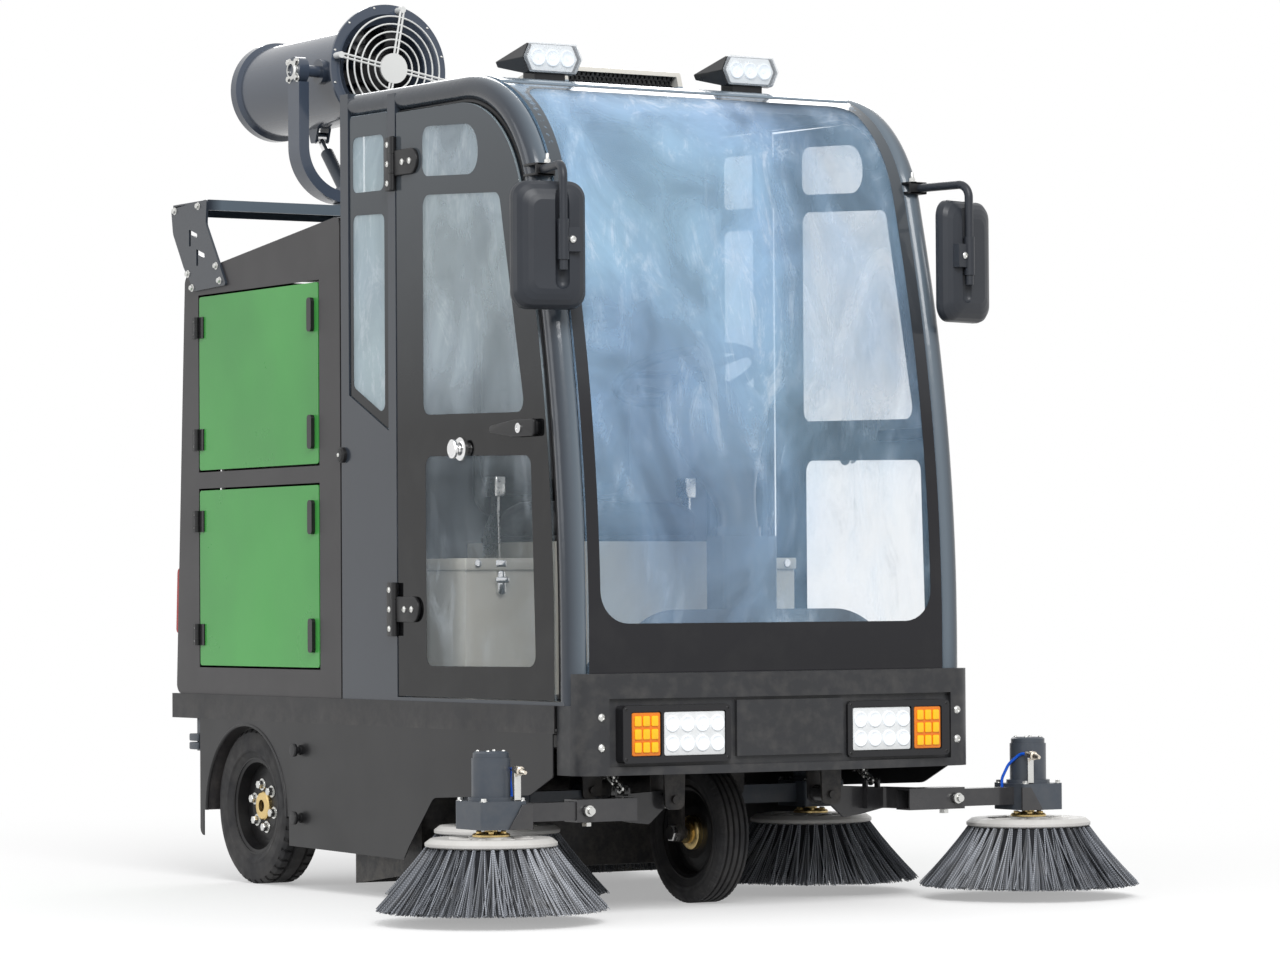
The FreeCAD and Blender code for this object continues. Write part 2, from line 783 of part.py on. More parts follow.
def box_outline(inset):
    return [
        (box_front_y + inset, box_bottom_z + inset), (box_rear_y - inset, box_bottom_z + inset),
        (box_rear_y - box_rear_lean - inset, box_top_rear_z - inset),
        (box_front_y + inset, box_top_front_z - inset),
    ]


def bay_door_hinge(z):
    return hinge(-body_half_width - hinge_radius, bay_rear_y + 3, z, 1)


def tailgate_hinge(x):
    """A hinge above the tailgate: two fixed knuckles on the rear wall and one on the gate's arm."""
    z = tailgate_high_z + tailgate_pin_rise
    y = box_rear(z) + tailgate_pin_out
    half = 3 * hinge_middle
    low = rod((x - half, y, z), (x - hinge_middle - fit_gap, y, z), hinge_radius)
    high = rod((x + hinge_middle + fit_gap, y, z), (x + half, y, z), hinge_radius)
    ears = [block(x + a, x + b, box_rear(z) - 2, y, z - 5, z + 5)
            for a, b in ((-half, -hinge_middle - fit_gap), (hinge_middle + fit_gap, half))]
    barrel = rod((x - hinge_middle, y, z), (x + hinge_middle, y, z), hinge_radius)
    edge = tailgate_high_z - 30
    arm = slab("x", [(y - 4, z), (y + 4, z), (box_rear(edge) + 8, edge), (box_rear(edge) - 1, edge)],
               x - hinge_middle, x + hinge_middle)
    return joined([low, high] + ears), joined([barrel, arm])


def rear_box():
    """Leaning service box with openings for its side doors and tailgate, and a deck for the tank."""
    outer = slab("x", box_outline(0), -body_half_width, body_half_width, [0, 24, 24, 24])
    inside = body_half_width - box_wall
    shell = outer.cut(slab("x", box_outline(box_wall), -inside, inside))
    for low, high in ((upper_bay_low_z, upper_bay_high_z), (lower_bay_low_z, lower_bay_high_z)):
        shell = shell.cut(block(-beyond, beyond, bay_front_y - running_gap, bay_rear_y + running_gap,
                                low - running_gap, high + running_gap))
    wide = tailgate_half_width + running_gap
    behind_tank = box_rear(box_top_rear_z) - tank_end_gap
    shell = shell.cut(block(-wide, wide, behind_tank, beyond, tailgate_low_z - running_gap,
                            tailgate_high_z + running_gap))
    deck = block(-inside, inside, box_front_y + box_wall, box_rear(deck_z) - tailgate_depth - running_gap,
                 deck_z - box_wall, deck_z)
    pieces = [shell, deck]
    for z in bay_hinge_heights():
        fixed = bay_door_hinge(z)[0]
        pieces += [fixed, mirrored(fixed)]
    pieces += [tailgate_hinge(side * tailgate_hinge_x)[0] for side in (-1, 1)]
    return joined(pieces)


def bay_hinge_heights():
    inset = bay_hinge_from_edge
    return [z for low, high in ((upper_bay_low_z, upper_bay_high_z), (lower_bay_low_z, lower_bay_high_z))
            for z in (low + inset, high - inset)]


def bay_door(low, high):
    """Pressed service door with its turned-in edges, hinge leaves and slim handles."""
    x = -body_half_width
    front, rear = bay_front_y, bay_rear_y
    skin = slab("x", [(front, low), (rear, low), (rear, high), (front, high)], x, x + bay_door_depth, [8] * 4)
    hollow = block(x + sheet, x + bay_door_depth + 1, front + sheet, rear - sheet, low + sheet, high - sheet)
    pieces = [skin.cut(hollow)]
    y0 = front + bay_handle_inset - bay_handle_width / 2
    y1 = y0 + bay_handle_width
    for z in (low + bay_hinge_from_edge, high - bay_hinge_from_edge):
        z0, z1 = z - bay_handle_half, z + bay_handle_half
        pieces.append(bay_door_hinge(z)[1])
        pieces.append(slab("x", [(y0, z0), (y1, z0), (y1, z1), (y0, z1)], x - bay_handle_stand, x + 1, [9] * 4))
    return joined(pieces)


def tailgate():
    """Leaning rear hatch hung from its top edge."""
    low_y = box_rear(tailgate_low_z)
    high_y = box_rear(tailgate_high_z)
    outline = [(low_y, tailgate_low_z), (high_y, tailgate_high_z),
               (high_y - tailgate_depth, tailgate_high_z), (low_y - tailgate_depth, tailgate_low_z)]
    skin = slab("x", outline, -tailgate_half_width, tailgate_half_width)
    inner = [(low_y - sheet, tailgate_low_z + sheet), (high_y - sheet, tailgate_high_z - sheet),
             (high_y - tailgate_depth - 1, tailgate_high_z - sheet),
             (low_y - tailgate_depth - 1, tailgate_low_z + sheet)]
    hollow = slab("x", inner, -tailgate_half_width + sheet, tailgate_half_width - sheet)
    arms = [tailgate_hinge(side * tailgate_hinge_x)[1] for side in (-1, 1)]
    return joined([skin.cut(hollow)] + arms)


def rack_cut(n):
    """An L-shaped cut in the bracket: a leg downwards and an arm sloping forwards."""
    y = rack_rear_y - rack_cut_from_rear + rack_cut_pitch[0] * n
    z = rack_top_z - rack_cut_from_top + rack_cut_pitch[1] * n
    width = rack_cut_width
    outline = [
        (y, z), (y - rack_cut_arm, z - rack_cut_fall), (y - rack_cut_arm, z - rack_cut_fall - width),
        (y - width, z - width - 4), (y - width, z - rack_cut_leg), (y, z - rack_cut_leg),
    ]
    return slab("x", outline, -body_half_width - plate - 1, 1 - body_half_width, [1, 3, 3, 1, 3, 3])


def tail_rack():
    """Two side brackets with L-shaped cuts and the shelf that carries the mist fan."""
    top, foot_z = rack_top_z, rack_foot_z
    front_y, rear_y = rack_front_y, rack_rear_y
    outline = [
        (rear_y, top - 10), (front_y, top), (front_y + 6, top - 60), (front_y - 104, foot_z + 5),
        (rear_y - 127, foot_z), (rear_y - 69, foot_z + 62), (rear_y - 10, top - 72),
    ]
    x = body_half_width
    right = slab("x", outline, -x - plate, -x, [6, 6, 20, 6, 6, 20, 30])
    for n in (0, 1):
        right = right.cut(rack_cut(n))
    deck = block(-x, x, front_y, rear_y, top - 4, top)
    front = block(-x, x, front_y, front_y + 4, top - rack_thick, top)
    rear = block(-x, x, rear_y - 4, rear_y, top - rack_thick, top)
    foot = rod((0, fan_yaw_y, top - rack_thick), (0, fan_yaw_y, top + yoke_base_height - fit_gap),
               yoke_base_radius + 10)
    return joined([right, mirrored(right), deck, front, rear, foot])


# Front

def bumper_plan(inset):
    """Half-round cornered plan of the bumper with a gently crowned front."""
    reach = rail_half_width - 7.0 - inset
    front = bumper_corner_y + inset
    crown = bumper_front_y + inset
    left = Vector(-bumper_corner_x + inset, front, 0)
    right = Vector(bumper_corner_x - inset, front, 0)
    middle = Part.Arc(left, Vector(0, crown, 0), right).toShape()
    turn = 50.0 - inset
    mid = turn * (1 - math.sqrt(0.5))
    corner_l = Part.Arc(Vector(-reach, front + 50 - inset, 0), Vector(-reach + mid, front + mid, 0), left).toShape()
    corner_r = Part.Arc(right, Vector(reach - mid, front + mid, 0), Vector(reach, front + 50 - inset, 0)).toShape()
    rear = bumper_rear_y + (1 if inset else 0)
    sides = [Part.LineSegment(Vector(reach, front + 50 - inset, 0), Vector(reach, rear, 0)).toShape(),
             Part.LineSegment(Vector(reach, rear, 0), Vector(-reach, rear, 0)).toShape(),
             Part.LineSegment(Vector(-reach, rear, 0), Vector(-reach, front + 50 - inset, 0)).toShape()]
    return Part.Face(Part.Wire([corner_l, middle, corner_r] + sides))


def bumper_block(inset, z0, z1):
    """Everything inside an inset of the bumper's plan, from one height to another."""
    plan = bumper_plan(inset)
    plan.translate(Vector(0, 0, z0))
    return plan.extrude(Vector(0, 0, z1 - z0))


def bumper_wall(outer_inset, inner_inset, z0, z1):
    return bumper_block(outer_inset, z0, z1).cut(bumper_block(inner_inset, z0 - 1, z1 + 1))


def bumper():
    """Moulded bumper with a sunk face, a raised middle panel and seats for the lamps."""
    wall, sink = bumper_shell, bumper_recess
    wide = bumper_corner_x - recess_margin
    low, high = bumper_bottom_z + recess_margin, panel_high_z + 7
    rear = bumper_corner_y + sink + wall + 8
    thick = bumper_wall(0.0, sink + wall, low - wall, high + wall)
    thick = thick.common(block(-wide - wall, wide + wall, -beyond, rear, 0, beyond))
    top = bumper_block(0.0, bumper_top_z - wall, bumper_top_z)
    shell = joined([bumper_wall(0.0, wall, bumper_bottom_z, bumper_top_z), top, thick])
    zone = block(-wide, wide, -beyond, rear, low, high)
    middle = block(-panel_half_width, panel_half_width, -beyond, rear, panel_low_z, panel_high_z)
    shell = shell.cut(bumper_wall(-1.0, sink, low, high).common(zone.cut(middle)))
    cabin = cab_region(-3.0, -cab_half_width - 1, cab_half_width + 1, rail_top_z, beyond / 3)
    return shell.cut(cabin).cut(headlamp(fit_gap)).cut(mirrored(headlamp(fit_gap)))


def headlamp(grow):
    """Rounded rectangular lamp pod, or its seat in the bumper when grown by a gap."""
    x0, x1 = -lamp_outer_x - grow, -lamp_inner_x + grow
    z0, z1 = lamp_low_z - grow, lamp_high_z + grow
    front = lamp_face_y - (bumper_recess if grow else 0.0)
    return slab("y", [(x0, z0), (x1, z0), (x1, z1), (x0, z1)], front, lamp_face_y + lamp_depth, [10 + grow] * 4)


def lamp_lens(x0, x1, sink):
    """The space over one lens, inside the pod's frame."""
    z0, z1 = lamp_low_z + lamp_frame, lamp_high_z - lamp_frame
    return slab("y", [(x0, z0), (x1, z0), (x1, z1), (x0, z1)], lamp_face_y - 1, lamp_face_y + sink, [5] * 4)


def headlamps():
    """Two pods: each has a white lens inboard and a direction lamp outboard, both sunk in the frame."""
    white = lamp_lens(-lamp_split_x, -lamp_inner_x - lamp_frame, 8.0)
    amber = lamp_lens(-lamp_outer_x + lamp_frame + 8, -lamp_split_x - 6, 5.0)
    lamp = headlamp(0.0).cut(white).cut(amber)
    return Part.makeCompound([lamp, mirrored(lamp)])


def roof_lamps():
    """Two forward lamps with pointed sides, each on a stand that is seated on the roof."""
    x, y, z = roof_lamp_x, roof_lamp_y, roof_lamp_z
    half, rear = roof_lamp_half, roof_lamp_y + roof_lamp_length
    side = slab("x", [(y, z - 32), (y + 20, z - 34), (rear, z - 12), (rear, z), (y, z + 34)],
                -x - half, -x + half, [4, 10, 3, 3, 4])
    front = slab("y", [(-x - half, z), (-x - half + 16, z + 36), (-x + half - 16, z + 36), (-x + half, z),
                       (-x + half - 16, z - 36), (-x - half + 16, z - 36)], y - 1, rear + 1, [3] * 6)
    window = slab("y", [(-x - half + 14, z - 4), (-x - half + 22, z + 20), (-x + half - 22, z + 20),
                        (-x + half - 14, z - 4), (-x + half - 22, z - 22), (-x - half + 22, z - 22)],
                  y - 1, y + 6, [2] * 6)
    stand = block(-x - 40, -x + 40, y + 10, y + 60, roof_height(y + 60) + fit_gap, z - 24)
    lamp = joined([side.common(front).cut(window), stand])
    return Part.makeCompound([lamp, mirrored(lamp)])


def mirror_ring(inset, y):
    """The mirror head's rounded outline moved inwards, at a station."""
    centre = -mirror_arm_x - mirror_from_arm_x
    x0, x1 = centre - mirror_half_width + inset, centre + mirror_half_width - inset
    z0, z1 = mirror_low_z + inset, mirror_high_z - inset
    corners = [Vector(x0, y, z0), Vector(x1, y, z0), Vector(x1, y, z1), Vector(x0, y, z1)]
    return rounded_wire(corners, [36 - inset * 0.4] * 4)


def mirror_head():
    """A rim and an elliptical dome towards the front, with the glass sunk in the rear and a recess for the arm."""
    rear = mirror_arm_y + mirror_from_arm_y + mirror_depth / 2
    rim_rings = [mirror_ring(3, rear), mirror_ring(0, rear - 3), mirror_ring(0, rear - mirror_rim)]
    rim = Part.makeLoft(rim_rings, True, True)
    rings = []
    for degrees in (0, 16, 32, 48, 62, 74):
        angle = math.radians(degrees)
        depth = mirror_rim + (mirror_depth - mirror_rim) * math.sin(angle)
        rings.append(mirror_ring(mirror_dome * (1 - math.cos(angle)), rear - depth))
    head = joined([rim, Part.makeLoft(rings, True, True)])
    head = head.cut(Part.Face(mirror_ring(10.0, rear + 1)).extrude(Vector(0, -4, 0)))
    x, y, r = -mirror_arm_x, mirror_arm_y, mirror_recess
    low, high = mirror_low_z + 40 + r, mirror_high_z - 9 - r
    for piece in (rod((x, y, low), (x, y, high), r), Part.makeSphere(r, Vector(x, y, low)),
                  Part.makeSphere(r, Vector(x, y, high))):
        head = head.cut(piece)
    return head


def mirrors():
    """Side mirrors turned towards the driver, on bent tubes from brackets on the front pillars."""
    x = -mirror_arm_x
    y = mirror_arm_y
    top = mirror_bracket_z
    bracket = block(-hoop_x - 12, -hoop_x + 12, mirror_bracket_y - 30, mirror_bracket_y - 4, top - 14, top + 14)
    middle_z = (mirror_sleeve_low_z + mirror_sleeve_high_z) / 2
    pad = block(x, x + 40, y - 4, y + 22, middle_z - 26, middle_z + 26)
    head = joined([mirror_head(), pad])
    head.rotate(Vector(x, y, 0), Vector(0, 0, 1), -mirror_yaw)
    points = [Vector(-hoop_x, mirror_bracket_y - 18, top), Vector(x, y, top), Vector(x, y, mirror_sleeve_low_z - 22)]
    path = Part.Wire(path_edges(points, [30]))
    start = Part.Wire(Part.makeCircle(mirror_tube, points[0], points[1] - points[0]))
    arm = path.makePipeShell([start], True, True)
    sleeve = rod((x, y, mirror_sleeve_low_z), (x, y, mirror_sleeve_high_z), mirror_sleeve)
    right = joined([bracket, head, arm, sleeve]).cut(hoop_pipe(fit_gap))
    right = max(right.Solids, key=lambda solid: solid.Volume)
    return Part.makeCompound([right, mirrored(right)])


# Wheels and steering

def tyre(x, y, radius, width, rim_radius, grooves):
    """Round-shouldered tyre with straight grooves around its tread."""
    half = width / 2
    shoulder = 0.22 * half
    outline = [(rim_radius, -half * 0.78), (rim_radius + 12, -half * 0.9), (radius * 0.86, -half),
               (radius - 9, -half * 0.93), (radius, -half + shoulder)]
    ribs = grooves + 1
    land = (width - 2 * shoulder - grooves * tyre_groove) / ribs
    s = -half + shoulder
    for n in range(grooves):
        s += land
        outline += [(radius, s), (radius - 5, s + 1), (radius - 5, s + tyre_groove - 1), (radius, s + tyre_groove)]
        s += tyre_groove
    outline += [(radius, half - shoulder), (radius - 9, half * 0.93), (radius * 0.86, half),
                (rim_radius + 12, half * 0.9), (rim_radius, half * 0.78)]
    return turned("x", (x, y, radius), outline)


def rim(x, y, z, rim_radius, width, bore, face):
    """Dished disc wheel; face is the side that shows, -1 or 1."""
    half = width / 2 * 0.78
    dish = face * 6.0
    outline = [(bore, dish - 8), (rim_radius * 0.55, dish - 8), (rim_radius * 0.7, dish - 3), (rim_radius - 14, -6),
               (rim_radius - 12, -half + 5), (rim_radius - 5, -half + 2), (rim_radius - 5, -half),
               (rim_radius - fit_gap, -half), (rim_radius - fit_gap, half), (rim_radius - 5, half),
               (rim_radius - 5, half - 2), (rim_radius - 12, half - 5), (rim_radius - 14, 0),
               (rim_radius * 0.7, dish + 3), (rim_radius * 0.55, dish), (rim_radius * 0.4, dish),
               (rim_radius * 0.4, dish + 16), (bore, dish + 16)]
    return turned("x", (x, y, z), outline)


def steering_fork():
    z = front_tyre_radius
    leg_x = front_tyre_width / 2 + fork_leg_gap
    crown_low = 2 * front_tyre_radius + crown_gap
    pieces = []
    for side in (-1, 1):
        outline = [(front_axle_y - fork_leg_width / 2, crown_low), (front_axle_y + fork_leg_width / 2, crown_low),
                   (front_axle_y + fork_leg_width / 2, z - 20), (front_axle_y - fork_leg_width / 2, z - 20)]
        pieces.append(slab("x", outline, side * leg_x, side * (leg_x + fork_leg_thick), [0, 0, 22, 22]))
        pieces.append(rod((side * (leg_x + fork_leg_thick), front_axle_y, z),
                          (side * (leg_x + fork_leg_thick + 14), front_axle_y, z), 15))
    pieces.append(block(-leg_x - fork_leg_thick, leg_x + fork_leg_thick, front_axle_y - 38, front_axle_y + 38,
                        crown_low, crown_low + crown_thick))
    pieces.append(rod((-leg_x, front_axle_y, z), (leg_x, front_axle_y, z), axle_radius))
    pieces.append(rod((0, front_axle_y, crown_low), (0, front_axle_y, crown_low + crown_thick + head_length + 12),
                      stem_radius))
    return joined(pieces)


def rear_axle():
    z = rear_tyre_radius
    inner = rear_wheel_x - rear_tyre_width / 2 - 8
    beam = rod((-inner, rear_axle_y, z), (inner, rear_axle_y, z), 32)
    stubs = rod((-rear_wheel_x - 8, rear_axle_y, z), (rear_wheel_x + 8, rear_axle_y, z), axle_radius)
    motor = rod((-60, rear_axle_y - 30, z), (-230, rear_axle_y - 30, z), 72)
    case = Part.makeSphere(84, Vector(0, rear_axle_y, z)).common(block(-62, 62, 0, 3000, 0, 400))
    pads = [block(side * (spring_x - 24), side * (spring_x + 24), rear_axle_y - 36, rear_axle_y + 36, z,
                  rear_tyre_radius + axle_pad)
            for side in (-1, 1)]
    return joined([beam, stubs, motor, case] + pads)


# Brushes

def brush(x, y):
    """Disc with a flared skirt of bristles, cut into tufts by slots."""
    top = brush_disc_z + brush_disc_thick
    edge = brush_disc_radius
    disc = [(0, brush_disc_z - 20), (edge * 0.6, brush_disc_z - 20), (edge, brush_disc_z),
            (edge, brush_disc_z + 4), (edge - 12, top), (34, top), (34, top + 6),
            (spindle_radius, top + 6), (spindle_radius, gearbox_low_z - fit_gap), (0, gearbox_low_z - fit_gap)]
    skirt = turned("z", (x, y, 0), [
        (edge - 4 - bristle_root, brush_disc_z - 12), (edge - 4, brush_disc_z + 1), (brush_radius, brush_tip_z + 6),
        (brush_radius - 6, brush_tip_z), (brush_radius - bristle_band, brush_tip_z)])
    for n in range(tuft_slots):
        slot = block(-brush_radius - 1, brush_radius + 1, -tuft_gap / 2, tuft_gap / 2, 0, brush_disc_z - 4)
        slot.rotate(Vector(0, 0, 0), Vector(0, 0, 1), 180.0 * n / tuft_slots)
        slot.translate(Vector(x, y, 0))
        skirt = skirt.cut(slot)
    return joined([turned("z", (x, y, 0), disc)] + skirt.Solids)


def brush_drive(x, y):
    """Right-angle gearbox with an upright motor on its flange."""
    wide, deep = gearbox_half_x, gearbox_half_y
    low, high = gearbox_low_z, gearbox_high_z
    box = slab("z", [(x - wide, y - deep), (x + wide, y - deep), (x + wide, y + deep), (x - wide, y + deep)],
               low, high, [10] * 4)
    r = brush_motor_radius
    top = brush_motor_top_z
    motor = turned("z", (x, y, high), [
        (0, 0), (r + motor_flange, 0), (r + motor_flange, motor_flange), (r, motor_flange), (r, top - high - 14),
        (r - 3, top - high - 14), (r - 3, top - high - 4), (r - 8, top - high), (0, top - high)])
    return joined([box, motor])


def box_tube(x0, x1, y, z, width, height, wall):
    outer = block(x0, x1, y - width / 2, y + width / 2, z - height / 2, z + height / 2)
    return outer.cut(block(x0 - 1, x1 + 1, y - width / 2 + wall, y + width / 2 - wall,
                           z - height / 2 + wall, z + height / 2 - wall))


def chain_link(pitch, centre, along, turn):
    """A flat-sided oval link about a centre, its length along a direction and square to the pins."""
    half = chain_half_width
    reach = pitch / 2 + chain_wire / 2
    outer = slab("z", [(-reach, -half), (reach, -half), (reach, half), (-reach, half)],
                 -chain_wire / 2, chain_wire / 2, [half - 0.5] * 4)
    inside = half - chain_wire
    hole = slab("z", [(chain_wire - reach, -inside), (reach - chain_wire, -inside), (reach - chain_wire, inside),
                      (chain_wire - reach, inside)], -chain_wire, chain_wire, [inside - 0.2] * 4)
    link = outer.cut(hole)
    link.rotate(Vector(0, 0, 0), Vector(1, 0, 0), turn)
    pin = Vector(1, 0, 0)
    square = FreeCAD.Rotation(along, pin.cross(along), pin, "XZY")
    link.Placement = FreeCAD.Placement(centre, square).multiply(link.Placement)
    return link


def front_chain():
    """The short chain that holds the arm up: its end links hang on the hook's pin and the arm's pin."""
    low = Vector(-hook_x, shackle_y, shackle_z)
    high = Vector(-hook_x, hook_y, hook_z)
    along = (high - low).normalize()
    past_pin = hook_pin_radius + chain_wire / 2 + fit_gap
    pitch = ((high - low).Length + 2 * past_pin) / chain_links
    start = low - along * past_pin
    return joined(chain_link(pitch, start + along * pitch * (n + 0.5), along, 90 * (n % 2))
                  for n in range(chain_links))


def pin_lugs(x, y, pin_z, root_z):
    """Two small plates with a pin through them for a chain's end link."""
    gap = chain_half_width + 3.0
    tip = pin_z + (8 if pin_z > root_z else -8)
    outline = [(y - 8, root_z), (y + 8, root_z), (y + 8, tip), (y - 8, tip)]
    lugs = [slab("x", outline, face, face + chain_wire, [0, 0, 7, 7]) for face in (x - gap - chain_wire, x + gap)]
    reach = gap + chain_wire + 2
    return lugs + [rod((x - reach, y, pin_z), (x + reach, y, pin_z), hook_pin_radius)]


def front_arm():
    """Lifting arm: pivot tube, gusset, telescoping tubes and the pin that its chain holds it by."""
    x = -front_pivot_x
    y, z = front_pivot_y, front_pivot_z
    boss = tube((x, y - arm_tube / 2, z), (x, y + arm_tube / 2, z), 20, pivot_radius + 0.05)
    gusset = slab("y", [(x - 10, z + 19), (x - 160, z + 11), (x - 160, z - 35), (x - 95, z - 48), (x - 50, z - 53),
                        (x - 8, z - 17)], y - 4, y + 4, [0, 0, 0, 10, 10, 0])
    eye = rod((x, y - arm_tube, z), (x, y + arm_tube, z), pivot_radius + 0.05)
    link = slab("z", [(x - 102, y + 22), (x - 175, y + 22), (x - 205, 24), (x - 160, 24), (x - 150, 70),
                      (x - 102, 70)], z - 35, z + 11, [0, 20, 0, 0, 10, 0])
    tube_z = z - 13
    end = arm_end_from_brush - front_brush_x
    outer = box_tube(end, x - arm_root_from_pivot, 0, tube_z, arm_tube + 4, arm_tube, arm_wall)
    inner_root = end + arm_overlap
    inner = box_tube(gearbox_half_x - front_brush_x, inner_root, 0, tube_z, arm_tube - 5, arm_tube - 9, arm_wall)
    shackle = pin_lugs(-hook_x, shackle_y, shackle_z, z + 10)
    return joined([boss, gusset.cut(eye), link, outer, inner] + shackle)


def inner_drive():
    """Arm, gearbox and motor of an inner brush."""
    x = -inner_pivot_x
    boss = tube((x, inner_brush_y - arm_tube / 2, inner_pivot_z), (x, inner_brush_y + arm_tube / 2, inner_pivot_z),
                20, pivot_radius + 0.05)
    arm = box_tube(-inner_brush_x + gearbox_half_x, x - 16, inner_brush_y, 230, arm_tube - 6, arm_tube - 6, arm_wall)
    return joined([boss, arm, brush_drive(-inner_brush_x, inner_brush_y)])


def roller_z():
    return roller_tip_z + roller_radius


def main_roller():
    z = roller_z()
    reach = roller_half_length + 24 + tunnel_wall
    core = rod((-reach, roller_y, z), (reach, roller_y, z), 14)
    drum = rod((-roller_half_length, roller_y, z), (roller_half_length, roller_y, z), roller_core_radius)
    bristles = rod((-roller_half_length + 8, roller_y, z), (roller_half_length - 8, roller_y, z), roller_radius)
    return joined([core, drum, bristles])


def roller_tunnel():
    """Hood over the main roller with end plates that hold its shaft."""
    z = roller_z()
    inner = roller_radius + tunnel_gap
    front = roller_y - inner
    rear = roller_y + inner
    half = roller_half_length + 24
    outline = [(front - tunnel_wall, 60), (front - tunnel_wall, z + 90), (roller_y - 60, z + inner + 6),
               (roller_y + 60, z + inner + 6), (rear + tunnel_wall, z + 90), (rear + tunnel_wall, 20)]
    hood = slab("x", outline, -half - tunnel_wall, half + tunnel_wall, [0, 40, 40, 40, 40, 0])
    cavity = [(front, 0), (front, z + 86), (roller_y - 60, z + inner), (roller_y + 60, z + inner), (rear, z + 86),
              (rear, 0)]
    hollow = slab("x", cavity, -half, half, [0, 40, 40, 40, 40, 0])
    bores = rod((-half - 20, roller_y, z), (half + 20, roller_y, z), 14 + fit_gap)
    hangers = []
    for side in (-1, 1):
        hangers.append(block(side * half, side * (half + tunnel_wall), roller_y - 45, roller_y + 45,
                             z + inner - 30, rail_bottom_z))
        hangers.append(block(side * half, side * (rail_half_width - skirt_flange - fit_gap), roller_y - 45,
                             roller_y + 45, rail_bottom_z - plate, rail_bottom_z))
    return joined([hood.cut(hollow).cut(bores)] + hangers)


# Mist fan

def mist_yoke():
    """Bent flat bar that carries the barrel, its turntable and the tilt jack's foot."""
    base = rack_top_z + yoke_base_height
    y0 = fan_yaw_y - yoke_bar_width / 2
    half = yoke_half_width
    top = fan_axis_z - 34
    outline = [(-half, top), (-half, base), (half, base), (half, top)]
    outer = slab("y", outline, y0, y0 + yoke_bar_width, [0, yoke_corner_radius, yoke_corner_radius, 0])
    t = yoke_bar_thick
    inside = [(-half + t, top + 1), (-half + t, base + t), (half - t, base + t), (half - t, top + 1)]
    hollow = slab("y", inside, y0 - 1, y0 + yoke_bar_width + 1,
                  [0, yoke_corner_radius - t, yoke_corner_radius - t, 0])
    pieces = [outer.cut(hollow)]
    for side in (-1, 1):
        x = side * (half - t / 2)
        pieces.append(tube((x - 14, fan_yaw_y, fan_axis_z), (x + 14, fan_yaw_y, fan_axis_z), 34,
                           trunnion_radius + fit_gap))
        pieces.append(block(x - 14, x + 14, y0, y0 + yoke_bar_width, top - 2, fan_axis_z - 30))
    turntable = rod((0, fan_yaw_y, rack_top_z + yoke_base_height), (0, fan_yaw_y, rack_top_z + yoke_base_height + 12),
                    yoke_base_radius)
    pieces.append(turntable)
    for side in (-1, 1):
        outline = [(y0 + yoke_bar_width - 4, base + 4), (jack_foot_y + 14, base + 10),
                   (jack_foot_y + 14, jack_foot_z + 12), (jack_foot_y - 14, jack_foot_z + 12),
                   (y0 + yoke_bar_width - 4, base + t)]
        pieces.append(slab("x", outline, side * 20, side * 26, [0, 10, 10, 10, 0]))
    pieces.append(rod((-28, jack_foot_y, jack_foot_z), (28, jack_foot_y, jack_foot_z), jack_pin_radius))
    return joined(pieces)


def mist_barrel():
    """Round fan casing with rolled flanges, trunnions, motor and the tilt jack's lug."""
    y0 = fan_intake_y
    y1 = fan_outlet_y
    r = fan_barrel_radius
    outline = [(fan_intake_radius, 0), (fan_intake_radius, fan_flange), (r, 26), (r, y1 - y0 - 40),
               (fan_outlet_radius, y1 - y0 - 30), (fan_outlet_radius, y1 - y0), (fan_outlet_radius - 22, y1 - y0),
               (r - fan_wall - 12, y1 - y0 - 46), (r - fan_wall, y1 - y0 - 60), (r - fan_wall, 26),
               (fan_mouth_radius, 0)]
    casing = turned("y", (0, y0, fan_axis_z), outline)
    pieces = [casing]
    for side in (-1, 1):
        pieces.append(rod((side * (r - 3), fan_yaw_y, fan_axis_z),
                          (side * (yoke_half_width + 4), fan_yaw_y, fan_axis_z), trunnion_radius))
        pieces.append(rod((side * (r - 6), fan_yaw_y, fan_axis_z), (side * (r + 12), fan_yaw_y, fan_axis_z), 32))
    pieces.append(rod((0, fan_yaw_y + 20, fan_axis_z), (0, fan_yaw_y + 190, fan_axis_z), 52))
    for turn in (45, 135, 225, 315):
        strut = block(-5, 5, fan_yaw_y + 60, fan_yaw_y + 150, 40, r - 2)
        strut.rotate(Vector(0, 0, 0), Vector(0, 1, 0), turn)
        strut.translate(Vector(0, 0, fan_axis_z))
        pieces.append(strut)
    for side in (-1, 1):
        outline = [(jack_eye_y - 26, fan_axis_z - r + 4), (jack_eye_y + 26, fan_axis_z - r + 4),
                   (jack_eye_y + 12, jack_eye_z - 14), (jack_eye_y - 12, jack_eye_z - 14)]
        pieces.append(slab("x", outline, side * 14, side * 20, [0, 0, 8, 8]))
    pieces.append(rod((-20, jack_eye_y, jack_eye_z), (20, jack_eye_y, jack_eye_z), jack_pin_radius))
    return joined(pieces)


def guard_spoke(turn):
    """A pair of wires from the hub to a round boss on the flange, turned about the fan's axis."""
    y = fan_intake_y - guard_depth
    reach = guard_foot_radius
    pieces = [rod((x, y, guard_hub_radius - 6), (x, y, reach), guard_spoke_wire)
              for x in (-guard_pair, guard_pair)]
    pieces.append(rod((0, y - 3, reach), (0, fan_intake_y, reach), guard_pair + guard_spoke_wire + 1))
    spoke = joined(pieces)
    spoke.rotate(Vector(0, 0, 0), Vector(0, 1, 0), turn)
    spoke.translate(Vector(0, 0, fan_axis_z))
    return spoke


